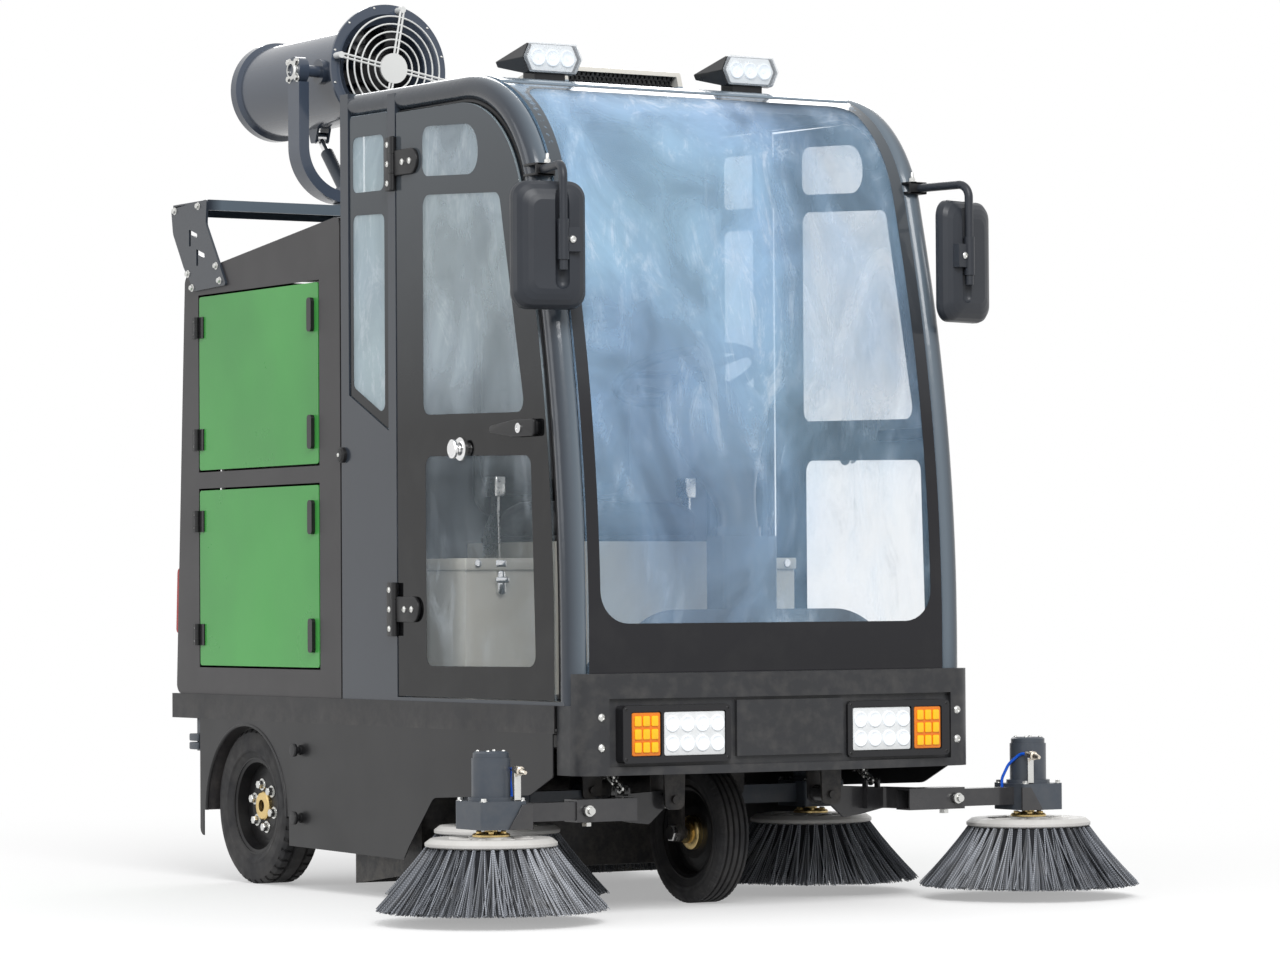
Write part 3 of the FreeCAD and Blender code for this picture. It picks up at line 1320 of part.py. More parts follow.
def mist_guard():
    """Round wires and four double spokes over the intake."""
    y = fan_intake_y - guard_depth
    pitch = (guard_radius - guard_inner_radius) / (guard_rings - 1)
    rings = [Part.makeTorus(guard_inner_radius + pitch * n, guard_wire, Vector(0, y, fan_axis_z), Vector(0, 1, 0))
             for n in range(guard_rings)]
    hub = rod((0, y - 3, fan_axis_z), (0, y + 3, fan_axis_z), guard_hub_radius)
    return joined(rings + [hub] + [guard_spoke(turn) for turn in (10, 100, 190, 280)])


def mist_fan():
    y = fan_yaw_y - 30
    pieces = [rod((0, y - 40, fan_axis_z), (0, y + 20, fan_axis_z), 40),
              rod((0, y + 10, fan_axis_z), (0, fan_yaw_y + 20 - fit_gap, fan_axis_z), 12)]
    reach = fan_barrel_radius - fan_wall - 6
    for n in range(blade_count):
        blade = block(-22, 22, -2.5, 2.5, 30, reach)
        blade.rotate(Vector(0, 0, 0), Vector(0, 0, 1), 35)
        blade = blade.common(rod((0, -60, 0), (0, 60, 0), reach))
        blade.rotate(Vector(0, 0, 0), Vector(0, 1, 0), 360.0 * n / blade_count)
        blade.translate(Vector(0, y - 10, fan_axis_z))
        pieces.append(blade)
    return joined(pieces)


def jack_line(share):
    """A point on the tilt jack between its foot and its eye."""
    y = jack_foot_y + (jack_eye_y - jack_foot_y) * share
    z = jack_foot_z + (jack_eye_z - jack_foot_z) * share
    return (0, y, z)


def tilt_jack():
    body = rod(jack_line(0.06), jack_line(0.72), jack_tube_radius)
    foot = rod((-18, jack_foot_y, jack_foot_z), (18, jack_foot_y, jack_foot_z), 15)
    eye = rod((-30, jack_foot_y, jack_foot_z), (30, jack_foot_y, jack_foot_z), jack_pin_radius + 0.05)
    bore = rod(jack_line(0.12), jack_line(0.8), jack_rod_radius + fit_gap)
    return joined([body, foot]).cut(eye).cut(bore)


def tilt_rod():
    shaft = rod(jack_line(0.26), jack_line(0.96), jack_rod_radius)
    eye = rod((-12, jack_eye_y, jack_eye_z), (12, jack_eye_y, jack_eye_z), 15)
    bore = rod((-30, jack_eye_y, jack_eye_z), (30, jack_eye_y, jack_eye_z), jack_pin_radius + 3.0)
    return joined([shaft, eye]).cut(bore)


def heavy_blocks():
    """Drive battery low in the rear box and water tank above it."""
    front, rear = box_front_y, box_rear(box_top_rear_z)
    wide = body_half_width - battery_side_gap
    battery = block(-wide, wide, front + battery_end_gap, rear - 32, box_bottom_z + box_wall, deck_z - battery_top_gap)
    wide = body_half_width - tank_side_gap
    tank = block(-wide, wide, front + tank_end_gap, rear - 52, deck_z, box_top_rear_z - tank_top_gap)
    return battery, tank


def rear_lamps():
    """Tall lamps either side of the tailgate, leaning with the rear wall."""
    low, high = rear_lamp_low_z, rear_lamp_high_z
    deep = 24.0
    outline = [(box_rear(low), low), (box_rear(low) + deep, low), (box_rear(high) + deep, high), (box_rear(high), high)]
    outer = body_half_width - 7
    lamp = slab("x", outline, -outer, -tailgate_half_width - 18, [0, 12, 12, 0])
    lamp.translate(Vector(0, fit_gap, 0))
    return Part.makeCompound([lamp, mirrored(lamp)])


def main():
    os.makedirs("parts", exist_ok=True)
    save("chassis_frame", chassis_frame())
    save("front_subframe", front_subframe())
    both_sides("side_skirt", side_skirt())
    frame = cab_frame()
    for z in (door_hinge_low_z, door_hinge_high_z):
        fixed = door_hinge(z)[0]
        frame = joined([frame, fixed, mirrored(fixed)])
    save("cab_frame", frame)
    save("roof_panel", roof_panel())
    pane = quarter_glass()
    save("windshield", windshield())
    save("quarter_glass", Part.makeCompound([pane, mirrored(pane)]))
    save("cab_floor", cab_floor())
    save("cab_boxes", cab_boxes())
    save("seat", seat())
    save("steering_console", steering_console())
    save("steering_wheel", steering_wheel())
    both_sides("cab_door", cab_door())
    save("rear_box", rear_box())
    both_sides("upper_bay_door", bay_door(upper_bay_low_z, upper_bay_high_z))
    both_sides("lower_bay_door", bay_door(lower_bay_low_z, lower_bay_high_z))
    save("tailgate", tailgate())
    save("tail_rack", tail_rack())
    save("rear_lamps", rear_lamps())
    battery, tank = heavy_blocks()
    save("battery_block", battery)
    save("water_tank", tank)
    save("bumper", bumper())
    save("headlamps", headlamps())
    save("roof_lamps", roof_lamps())
    save("mirrors", mirrors())
    save("steering_fork", steering_fork())
    save("front_tyre", tyre(0, front_axle_y, front_tyre_radius, front_tyre_width, front_rim_radius, front_ribs - 1))
    save("front_rim", rim(0, front_axle_y, front_tyre_radius, front_rim_radius, front_tyre_width,
                          axle_radius + fit_gap, -1))
    save("rear_axle", rear_axle())
    both_sides("rear_tyre", tyre(-rear_wheel_x, rear_axle_y, rear_tyre_radius, rear_tyre_width, rear_rim_radius, 2))
    both_sides("rear_rim", rim(-rear_wheel_x, rear_axle_y, rear_tyre_radius, rear_rim_radius, rear_tyre_width,
                               axle_radius + fit_gap, -1))
    both_sides("front_brush", brush(-front_brush_x, 0))
    both_sides("inner_brush", brush(-inner_brush_x, inner_brush_y))
    both_sides("front_drive", brush_drive(-front_brush_x, 0))
    both_sides("front_arm", front_arm())
    both_sides("front_chain", front_chain())
    both_sides("inner_drive", inner_drive())
    save("main_roller", main_roller())
    save("roller_tunnel", roller_tunnel())
    save("mist_yoke", mist_yoke())
    save("mist_barrel", mist_barrel())
    save("mist_guard", mist_guard())
    save("mist_fan", mist_fan())
    save("tilt_jack", tilt_jack())
    save("tilt_rod", tilt_rod())


main()
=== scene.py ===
import bmesh
import bpy
import numpy as np
from bpy.props import FloatProperty, FloatVectorProperty, IntProperty, PointerProperty
from mathutils import Matrix, Vector


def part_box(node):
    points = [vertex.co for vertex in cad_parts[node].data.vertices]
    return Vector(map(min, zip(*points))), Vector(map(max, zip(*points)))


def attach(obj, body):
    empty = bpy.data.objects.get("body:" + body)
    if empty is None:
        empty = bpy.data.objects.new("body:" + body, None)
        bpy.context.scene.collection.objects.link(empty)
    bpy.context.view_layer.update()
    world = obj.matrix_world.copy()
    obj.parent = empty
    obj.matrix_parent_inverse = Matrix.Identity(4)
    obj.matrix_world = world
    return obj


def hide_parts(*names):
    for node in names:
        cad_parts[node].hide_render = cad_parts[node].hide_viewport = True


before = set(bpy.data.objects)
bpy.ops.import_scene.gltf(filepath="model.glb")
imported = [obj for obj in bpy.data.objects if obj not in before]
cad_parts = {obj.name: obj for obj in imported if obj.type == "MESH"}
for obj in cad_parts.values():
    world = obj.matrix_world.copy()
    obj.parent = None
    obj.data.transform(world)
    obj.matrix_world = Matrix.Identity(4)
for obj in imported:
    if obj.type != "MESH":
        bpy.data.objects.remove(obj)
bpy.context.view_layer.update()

bl_info = {
    "name": "Enclosed Road Sweeper",
    "version": (1, 0, 0),
    "blender": (4, 5, 0),
    "location": "3D Viewport > Sidebar > Sweeper",
    "description": "Dresses the packed frame of a compact enclosed road sweeper",
    "category": "Object",
}

MM = 0.001
# Station, in mm behind the front brush spindles, of the frame's origin
ORIGIN_STATION = 1045.0
TURN = 2.0 * np.pi
# Directions: outwards on the driver's right, to the front, to the back, up, and across the machine
OUT, AHEAD, BEHIND, UP, ACROSS = (-1, 0, 0), (0, -1, 0), (0, 1, 0), (0, 0, 1), (1, 0, 0)


# Arrays and shapes: a shape is its points and a list of face index arrays

def to_frame(points):
    """Millimetres and stations turned into metres in the frame's axes."""
    moved = np.array(points, float)
    moved[..., 1] -= ORIGIN_STATION
    return moved * MM


def surface(rings, closed=False, caps=False):
    """Joins rings of points, one after the other, into four-sided faces, with a face on each end if capped."""
    rows, cols = rings.shape[:2]
    r = np.arange(rows if closed else rows - 1)[:, None]
    c = np.arange(cols)[None]
    below, beside = (r + 1) % rows, (c + 1) % cols
    quads = np.stack([r * cols + c, r * cols + beside, below * cols + beside, below * cols + c], -1)
    faces = [quads.reshape(-1, 4)]
    if caps:
        faces += [c[:, ::-1], c + (rows - 1) * cols]
    return rings.reshape(-1, 3), faces


def together(*shapes):
    """Several shapes as one."""
    points, faces, base = [], [], 0
    for shape_points, shape_faces in shapes:
        points.append(shape_points)
        faces += [f + base for f in shape_faces]
        base += len(shape_points)
    return np.concatenate(points), faces


def copies(shape, places, frames):
    """The shape at each place, turned by each frame, whose columns are the shape's own axes."""
    points, faces = shape
    places = np.atleast_2d(np.asarray(places, float))
    count = len(places)
    frames = np.broadcast_to(frames, (count, 3, 3))
    out = np.einsum("nij,kj->nki", frames, points) + places[:, None]
    step = np.arange(count)[:, None, None] * len(points)
    return out.reshape(-1, 3), [(f[None] + step).reshape(-1, f.shape[1]) for f in faces]


def flipped(shape):
    """The shape's mirror image across the machine's middle."""
    return shape[0] * (-1, 1, 1), [f[:, ::-1] for f in shape[1]]


def both(shape):
    """The shape and its mirror image."""
    return together(shape, flipped(shape))


def facing(direction, up=UP):
    """Frames whose third axis points along each direction and whose second leans to up."""
    along = np.atleast_2d(np.asarray(direction, float))
    along = along / np.linalg.norm(along, axis=-1, keepdims=True)
    side = np.cross(np.broadcast_to(up, along.shape), along)
    side = side / np.linalg.norm(side, axis=-1, keepdims=True)
    return np.stack([side, np.cross(along, side), along], -1)


def laid(shape, axis):
    """A shape drawn flat in (u, v) with its thickness w, laid square to an axis."""
    order = {"x": [2, 0, 1], "y": [0, 2, 1], "z": [0, 1, 2]}[axis]
    return shape[0][:, order], shape[1]


def moved(shape, x, y, z):
    """The shape shifted along the three axes."""
    return shape[0] + np.array([x, y, z], float), shape[1]


def rounded(points, radii, steps, closed=True):
    """Corners turned on arcs: each arc runs between the points where a circle of that radius touches both sides."""
    p = np.asarray(points, float)
    core = p if closed else p[1:-1]
    r = np.broadcast_to(np.asarray(radii, float), len(core))[:, None] + 0.02
    a = (np.roll(p, 1, 0) if closed else p[:-2])[: len(core)] - core
    b = (np.roll(p, -1, 0) if closed else p[2:])[: len(core)] - core
    a /= np.linalg.norm(a, axis=1, keepdims=True)
    b /= np.linalg.norm(b, axis=1, keepdims=True)
    half = np.arccos(np.clip((a * b).sum(1, keepdims=True), -0.9999, 0.9999)) / 2
    middle = a + b
    middle /= np.linalg.norm(middle, axis=1, keepdims=True)
    centre = core + middle * r / np.sin(half)
    start = core + a * r / np.tan(half) - centre
    end = core + b * r / np.tan(half) - centre
    t = np.linspace(0, 1, steps + 1)[None, :, None]
    angle = (np.pi - 2 * half)[:, None]
    swing = np.sin((1 - t) * angle) * start[:, None] + np.sin(t * angle) * end[:, None]
    arcs = (centre[:, None] + swing / np.sin(angle)).reshape(-1, p.shape[1])
    return arcs if closed else np.concatenate([p[:1], arcs, p[-1:]])


def offset_in(outline, distance):
    """An outline moved inwards: each point goes along the mean of its two sides' normals."""
    edge = np.roll(outline, -1, 0) - outline
    area = (outline[:, 0] * np.roll(outline[:, 1], -1) - outline[:, 1] * np.roll(outline[:, 0], -1)).sum()
    normal = np.stack([-edge[:, 1], edge[:, 0]], 1) * np.sign(area)
    normal /= np.maximum(np.linalg.norm(normal, axis=1, keepdims=True), 1e-9)
    before = np.roll(normal, 1, 0)
    return outline + distance * (normal + before) / (1.0 + (normal * before).sum(1, keepdims=True)).clip(0.4)


def plate(outline, low, high, bevel, steps=3):
    """An outline drawn from low to high, with both rims rounded on a quarter circle of the bevel."""
    outline = np.asarray(outline, float)
    t = np.linspace(0, np.pi / 2, steps + 1)
    inward = bevel * (1 - np.sin(t))
    rise = bevel * (1 - np.cos(t))
    levels = [(i, low + h) for i, h in zip(inward, rise)] + [(i, high - h) for i, h in zip(inward[::-1], rise[::-1])]
    rings = [np.column_stack([offset_in(outline, i), np.full(len(outline), h)]) for i, h in levels]
    return surface(np.array(rings), caps=True)


def block(x0, x1, y0, y1, z0, z1, radius, bevel=1.0, axis="z"):
    """A box with round corners seen along one axis and rounded rims."""
    u0, u1, v0, v1, w0, w1 = {"z": (x0, x1, y0, y1, z0, z1), "y": (x0, x1, z0, z1, y0, y1),
                              "x": (y0, y1, z0, z1, x0, x1)}[axis]
    outline = rounded([(u0, v0), (u1, v0), (u1, v1), (u0, v1)], radius, 4)
    return laid(plate(outline, w0, w1, bevel, 2), axis)


def turned(profile, count, closed=False):
    """A profile of radius and height turned about Z: x = r cos a, y = r sin a, z = h."""
    r, h = np.asarray(profile, float).T[:, :, None]
    a = np.linspace(0, TURN, count, endpoint=False)[None]
    points = np.stack([r * np.cos(a), r * np.sin(a), h + 0 * a], -1)
    shape, faces = surface(points, closed)
    if not closed:
        ends = [(0, np.arange(count)[None, ::-1]), (-1, np.arange(count)[None] + (len(r) - 1) * count)]
        faces += [cap for at, cap in ends if r[at, 0] > 1e-6]
    return shape, faces


def carried(section, path, up, closed=False, size=1.0):
    """A closed section carried square along a path; size scales it at each point of the path."""
    path = np.asarray(path, float)
    along = np.roll(path, -1, 0) - np.roll(path, 1, 0) if closed else np.gradient(path, axis=0)
    frames = facing(along, up)
    sections = np.asarray(section)[None] * np.reshape(size, (-1, 1, 1)) + np.zeros((len(path), 1, 1))
    points = path[:, None] + np.einsum("nij,nkj->nki", frames[:, :, :2], sections)
    return surface(points, closed, caps=not closed)


def ring(radius, count):
    """Points evenly round a circle."""
    a = np.linspace(0, TURN, count, endpoint=False)
    return radius * np.stack([np.cos(a), np.sin(a)], 1)


def around(centre, radius, count, axis="z", start=0.0):
    """Places evenly round a circle that is square to an axis."""
    a = start + np.linspace(0, TURN, count, endpoint=False)
    flat = np.stack([radius * np.cos(a), radius * np.sin(a), 0 * a], 1)
    return laid((flat, []), axis)[0] + np.asarray(centre, float)


def hex_bolt(across, height):
    """Hexagon head with a rounded top on a washer, standing on Z = 0."""
    r = across / np.sqrt(3)
    head = turned([(r, 0.1 * height), (r, 0.82 * height), (0.86 * r, height), (0, height * 1.04)], 6)
    disc = turned([(r * 1.32, 0), (r * 1.38, 0.06 * height), (r * 1.32, 0.16 * height), (0, 0.16 * height)], 20)
    return together(head, disc)


def cap_screw(radius, height):
    """Button head with a sunk hexagon socket."""
    return turned([(radius, 0), (radius, 0.35 * height), (0.75 * radius, 0.85 * height), (0.5 * radius, height),
                   (0.45 * radius, 0.5 * height), (0, 0.45 * height)], 14)


def bolts(shape, places, direction):
    """The same fastener at several places, standing out along a direction."""
    up = UP if abs(direction[2]) < 0.9 else BEHIND
    return copies(shape, places, facing(direction, up))


def placed(name, data):
    """A new object in the scene for a mesh, a light or a camera."""
    made = bpy.data.objects.new(name, data)
    bpy.context.scene.collection.objects.link(made)
    return made


def new_piece(name, shape, look, body="machine", stands_for=(), slot=None, weld=True, sharp=35.0, extra=None):
    """Puts a shape into a mesh on a body; points that meet are welded and the faces turned outwards."""
    points, faces = shape
    mesh = bpy.data.meshes.new(name)
    points = to_frame(points)
    mesh.vertices.add(len(points))
    mesh.vertices.foreach_set("co", points.astype(np.float32).ravel())
    totals = np.concatenate([np.full(len(f), f.shape[1]) for f in faces])
    mesh.loops.add(int(totals.sum()))
    mesh.loops.foreach_set("vertex_index", np.concatenate([f.ravel() for f in faces]).astype(np.int32))
    mesh.polygons.add(len(totals))
    mesh.polygons.foreach_set("loop_start", (np.cumsum(totals) - totals).astype(np.int32))
    mesh.polygons.foreach_set("loop_total", totals.astype(np.int32))
    mesh.update(calc_edges=True)
    for label, values in (extra or {}).items():
        mesh.attributes.new(label, "FLOAT", "POINT").data.foreach_set("value", np.asarray(values, np.float32))
    if weld:
        work = bmesh.new()
        work.from_mesh(mesh)
        bmesh.ops.remove_doubles(work, verts=work.verts, dist=2e-6)
        bmesh.ops.dissolve_degenerate(work, edges=work.edges, dist=1e-7)
        bmesh.ops.recalc_face_normals(work, faces=work.faces)
        work.to_mesh(mesh)
        work.free()
    mesh.validate()
    mesh.shade_smooth()
    mesh.set_sharp_from_angle(angle=np.radians(sharp))
    piece = placed(name, mesh)
    mesh.materials.append(finish(look))
    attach(piece, body)
    if stands_for:
        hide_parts(*stands_for)
    return piece


def fasteners(name, head, places, direction=OUT, look="bolt_silver", body="machine"):
    """The same head at places on the driver's right and at their mirror images."""
    new_piece(name, both(bolts(head, places, direction)), look, body)


# Finishes: every one is procedural and reads Object coordinates or the piece's own attributes

class Finish:
    """A Principled finish and the few node patterns that these parts need."""

    def __init__(self, name, colour, roughness, metal=0.0, **sockets):
        self.material = bpy.data.materials.new("sweeper_" + name)
        self.material.use_nodes = True
        self.tree = self.material.node_tree
        self.shader = self.tree.nodes["Principled BSDF"]
        self.colour = tuple(colour) + (1.0,)
        self.shader.inputs["Base Color"].default_value = self.colour
        self.shader.inputs["Roughness"].default_value = roughness
        self.shader.inputs["Metallic"].default_value = metal
        for socket, value in sockets.items():
            self.shader.inputs[socket.replace("_", " ")].default_value = value
        self.material.diffuse_color = self.colour
        self.place = self.tree.nodes.new("ShaderNodeTexCoord").outputs["Object"]

    def node(self, kind, **inputs):
        made = self.tree.nodes.new(kind)
        for socket, value in inputs.items():
            self.feed(made.inputs[socket.replace("_", " ")], value)
        return made

    def feed(self, socket, value):
        if isinstance(value, bpy.types.NodeSocket):
            self.tree.links.new(value, socket)
        else:
            socket.default_value = value

    def maths(self, operation, *values):
        made = self.tree.nodes.new("ShaderNodeMath")
        made.operation = operation
        for socket, value in zip(made.inputs, values):
            self.feed(socket, value)
        return made.outputs[0]

    def axis(self, letter):
        """One of the object's coordinates, in metres."""
        return self.node("ShaderNodeSeparateXYZ", Vector=self.place).outputs[letter]

    def noise(self, scale, detail, stretch=(1.0, 1.0, 1.0), rough=0.55):
        """Cloudy pattern with so many cells to the metre, longer along a stretched axis."""
        at = self.node("ShaderNodeMapping", Vector=self.place, Scale=stretch).outputs[0]
        return self.node("ShaderNodeTexNoise", Vector=at, Scale=scale, Detail=detail, Roughness=rough).outputs["Fac"]

    def step(self, value, low, high, to_low=0.0, to_high=1.0):
        """The value carried from one range to another and held at its ends."""
        made = self.node("ShaderNodeMapRange", Value=value)
        for at, number in zip(("From Min", "From Max", "To Min", "To Max"), (low, high, to_low, to_high)):
            made.inputs[at].default_value = number
        return made.outputs[0]

    def mixed(self, factor, first, second):
        made = self.tree.nodes.new("ShaderNodeMix")
        made.data_type = "RGBA"
        self.feed(made.inputs[0], factor)
        for socket, value in ((made.inputs[6], first), (made.inputs[7], second)):
            self.feed(socket, value if isinstance(value, bpy.types.NodeSocket) else tuple(value)[:3] + (1.0,))
        return made.outputs[2]

    def tint(self, factor, second):
        """Mixes a second colour over what colours the surface so far."""
        socket = self.shader.inputs["Base Color"]
        first = socket.links[0].from_socket if socket.links else self.colour
        self.feed(socket, self.mixed(factor, first, second))
        return self

    def clouded(self, scale, detail, low, high, share, colour):
        """A second colour in clouds: none where their noise is under low, a share where it is over high."""
        return self.tint(self.step(self.noise(scale, detail), low, high, 0.0, share), colour)

    def rough(self, factor, low, high):
        self.feed(self.shader.inputs["Roughness"], self.step(factor, 0.3, 0.7, low, high))
        return self

    def bump(self, height, depth, strength=1.0):
        made = self.node("ShaderNodeBump", Height=height, Distance=depth, Strength=strength)
        socket = self.shader.inputs["Normal"]
        if socket.links:
            self.feed(made.inputs["Normal"], socket.links[0].from_socket)
        self.feed(socket, made.outputs[0])
        return self


def scaled(colour, share):
    """A colour made lighter or darker."""
    return tuple(min(1.0, c * share) for c in colour[:3])


def paint(name, colour, gloss, coat, dust=0.0):
    """Sprayed paint: faint clouding, orange peel, and road dust that thickens towards the ground."""
    made = Finish(name, colour, gloss, Coat_Weight=coat, Coat_Roughness=0.08, Specular_IOR_Level=0.3)
    made.clouded(2.3, 5, 0.35, 0.7, 0.5, scaled(colour, 1.3))
    made.rough(made.noise(5.0, 6), gloss * 0.85, gloss * 1.2)
    made.bump(made.noise(420.0, 2), 0.00004)
    if dust:
        low = made.step(made.axis("Z"), 0.02, 0.5, 1.0, 0.0)
        speck = made.step(made.noise(22.0, 8, rough=0.7), 0.4, 0.75)
        made.tint(made.maths("MULTIPLY", made.maths("MULTIPLY", low, speck), dust), (0.32, 0.29, 0.25))
    return made


def bare_metal(name, colour, roughness):
    """Metal with fine scratches and a little clouding."""
    made = Finish(name, colour, roughness, 1.0)
    made.clouded(9.0, 6, 0.4, 0.7, 0.45, scaled(colour, 0.68))
    made.rough(made.noise(120.0, 5), roughness * 0.75, roughness * 1.35)
    made.bump(made.noise(480.0, 3), 0.00002)
    return made


def plastic(name, colour, roughness, grain=900.0, depth=0.00008, dust=0.0):
    """Moulded plastic with its leather-like grain."""
    made = Finish(name, colour, roughness, Specular_IOR_Level=0.35)
    made.clouded(6.0, 5, 0.4, 0.7, 0.3, scaled(colour, 1.3))
    made.rough(made.noise(14.0, 5), roughness * 0.85, roughness * 1.15)
    cells = made.node("ShaderNodeTexVoronoi", Vector=made.place, Scale=grain).outputs["Distance"]
    made.bump(cells, depth, 0.6)
    if dust:
        made.tint(made.maths("MULTIPLY", made.step(made.noise(30.0, 7), 0.45, 0.8), dust), (0.3, 0.28, 0.25))
    return made


def rubber(name, colour, dust):
    """Tyre rubber: dull, a little brown with dust in its hollows."""
    made = Finish(name, colour, 0.72, Specular_IOR_Level=0.3)
    made.clouded(12.0, 7, 0.42, 0.8, dust, (0.16, 0.15, 0.14))
    made.rough(made.noise(40.0, 5), 0.6, 0.85)
    made.bump(made.noise(700.0, 3), 0.00012)
    return made


def tinted_glass(name, colour, low, high, ground=None, side=None):
    """Window glass: a sharp reflection over a thin veil of wiped dust with pale streaks.

    The veil's weight wanders between low and high; ground and side scale it along Z and X,
    each as two places in metres and the shares there.
    """
    made = Finish(name, colour, 0.03, IOR=1.5, Coat_Weight=0.6, Coat_Roughness=0.02)
    smears = made.noise(3.6, 7, (1.0, 1.0, 0.6), 0.6)
    smears.node.inputs["Distortion"].default_value = 1.5
    # The veil's colour is a painted sky reflection; its weight follows the smears, and the wiped streaks add real dust
    # to it.
    sky_and_dust_veil = made.step(smears, 0.36, 0.68, low, high)
    for letter, change in (("Z", ground), ("X", side)):
        if change:
            sky_and_dust_veil = made.maths("MULTIPLY", sky_and_dust_veil, made.step(made.axis(letter), *change))
    streaks = made.noise(9.0, 9, (1.0, 1.0, 0.35), 0.75)
    streaks.node.inputs["Distortion"].default_value = 2.5
    wiped = made.maths("MULTIPLY", made.step(streaks, 0.5, 0.62, 0.0, 1.0), made.step(smears, 0.42, 0.6, 0.0, 0.5))
    sky_and_dust_veil = made.maths("ADD", sky_and_dust_veil, made.maths("MULTIPLY", wiped, high * 0.5))
    made.feed(made.shader.inputs["Alpha"], sky_and_dust_veil)
    # Lighter clouds in the painted sky reflection.
    made.clouded(1.3, 4, 0.4, 0.7, 0.6, scaled(colour, 1.25))
    made.tint(wiped, (0.85, 0.92, 1.0))
    return made


def lens(name, colour, glow=0.0, alpha=1.0):
    """Moulded lamp lens with fine ribs."""
    made = Finish(name, colour, 0.1, Alpha=alpha, Coat_Weight=0.2, Specular_IOR_Level=0.3, Emission_Strength=glow)
    made.shader.inputs["Emission Color"].default_value = tuple(colour) + (1.0,)
    ribs = made.maths("SINE", made.maths("MULTIPLY", made.axis("X"), 900.0))
    made.bump(ribs, 0.0001, 0.5)
    made.clouded(60.0, 2, 0.4, 0.7, 0.3, scaled(colour, 0.8))
    return made


def bristle_finish(name, dark, light):
    """Crimped plastic bristles: each one's own shade, with light and dark rings along it where it is crimped."""
    made = Finish(name, dark, 0.5)
    shade = made.node("ShaderNodeAttribute").outputs["Fac"]
    shade.node.attribute_name = "shade"
    run = made.node("ShaderNodeAttribute").outputs["Fac"]
    run.node.attribute_name = "run"
    # Painted highlight: a sine along each bristle's run makes light and dark rings where the crimp would catch light.
    crimp_highlight = made.step(made.maths("SINE", made.maths("MULTIPLY", run, 1.1)), -0.4, 1.0, 0.45, 1.0)
    made.tint(made.maths("MULTIPLY", made.maths("POWER", shade, 1.15), crimp_highlight), light)
    made.tint(made.maths("MULTIPLY", made.step(made.noise(16.0, 6), 0.5, 0.8), 0.2), (0.3, 0.28, 0.25))
    return made


def woven_mat(name, colour):
    """Rubber floor mat with round studs."""
    made = Finish(name, colour, 0.7)
    studs = made.node("ShaderNodeTexVoronoi", Vector=made.place, Scale=55.0, Randomness=0.0).outputs["Distance"]
    made.bump(made.step(studs, 0.25, 0.4, 1.0, 0.0), 0.002)
    made.clouded(8.0, 6, 0.4, 0.8, 0.5, (0.12, 0.11, 0.1))
    return made


def vinyl(name, colour):
    """Seat vinyl: pebble grain, soft sheen and rubbed lighter patches."""
    made = Finish(name, colour, 0.48, Sheen_Weight=0.15)
    pebbles = made.node("ShaderNodeTexVoronoi", Vector=made.place, Scale=520.0).outputs["Distance"]
    made.bump(pebbles, 0.0004, 0.7)
    made.clouded(7.0, 6, 0.42, 0.75, 0.6, scaled(colour, 1.9))
    made.rough(made.noise(10.0, 5), 0.4, 0.6)
    return made


def two_tone(made, letter, edge, colour, above=True, absolute=True):
    """Paints what lies beyond a distance along one axis in a second colour."""
    place = made.axis(letter)
    place = made.maths("ABSOLUTE", place) if absolute else place
    made.tint(made.maths("GREATER_THAN" if above else "LESS_THAN", place, edge), colour)
    return made


# Places and sizes taken from the frame, and shapes that several pieces use

def span(node):
    """Lowest and highest corner of a CAD node, in millimetres and stations."""
    low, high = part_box(node)
    shift = np.array([0.0, ORIGIN_STATION, 0.0])
    return np.array(low) / MM + shift, np.array(high) / MM + shift


def middle(node):
    """Middle of a CAD node's box."""
    low, high = span(node)
    return (low + high) / 2


def sided(name, shape, look, body, stands_for=(), **more):
    """A piece drawn on the driver's right and its mirror image, each on its own side's body."""
    for side, drawn in (("right", shape), ("left", flipped(shape))):
        nodes = [node.format(side) for node in stands_for]
        new_piece(f"{name}_{side}", drawn, look, body.format(side), nodes, **more)


def settings():
    return bpy.context.scene.sweeper


def finish(name):
    """The material of that name, made by make_finishes."""
    return bpy.data.materials["sweeper_" + name]


# Cab outline in the side's plane: front pillar, roof bend and roof, as in the frame
CAB_CORNERS = [(-10.0, 440.0), (-9.0, 1047.0), (188.0, 1836.0), (1012.0, 1850.0)]
CAB_BENDS = [3600.0, 345.0]
DOOR_INSET = 61.0
DOOR_REAR = 742.0
DOOR_BOTTOM = 462.0
GLASS_TOP = 352.0
GLASS_FOOT = 514.0
GLASS_HALF = 461.0


def cab_line(inset):
    """The cab's outline from its foot to the roof's rear, moved square inwards by an inset."""
    line = rounded(CAB_CORNERS, CAB_BENDS, 40, closed=False)
    along = np.gradient(line, axis=0)
    along /= np.linalg.norm(along, axis=1, keepdims=True)
    return line + inset * np.stack([along[:, 1], -along[:, 0]], 1)


def trimmed(line, low, rear):
    """The part of a cab line above a height and before a station, with new end points there."""
    y, z = line.T
    inside = (z > low) & (y < rear)
    first = (np.interp(low, z, y), low)
    last = (rear, np.interp(rear, y, z))
    return np.concatenate([[first], line[inside], [last]])


def between_heights(outline, low, high):
    """The part of a convex outline that lies between two heights."""
    for sign, level in ((1, low), (-1, -high)):
        kept = []
        for a, b in zip(outline, np.roll(outline, -1, 0)):
            da, db = sign * a[1] - level, sign * b[1] - level
            if da >= 0:
                kept.append(a)
            if da * db < 0:
                kept.append(a + (b - a) * da / (da - db))
        outline = np.array(kept)
    return outline


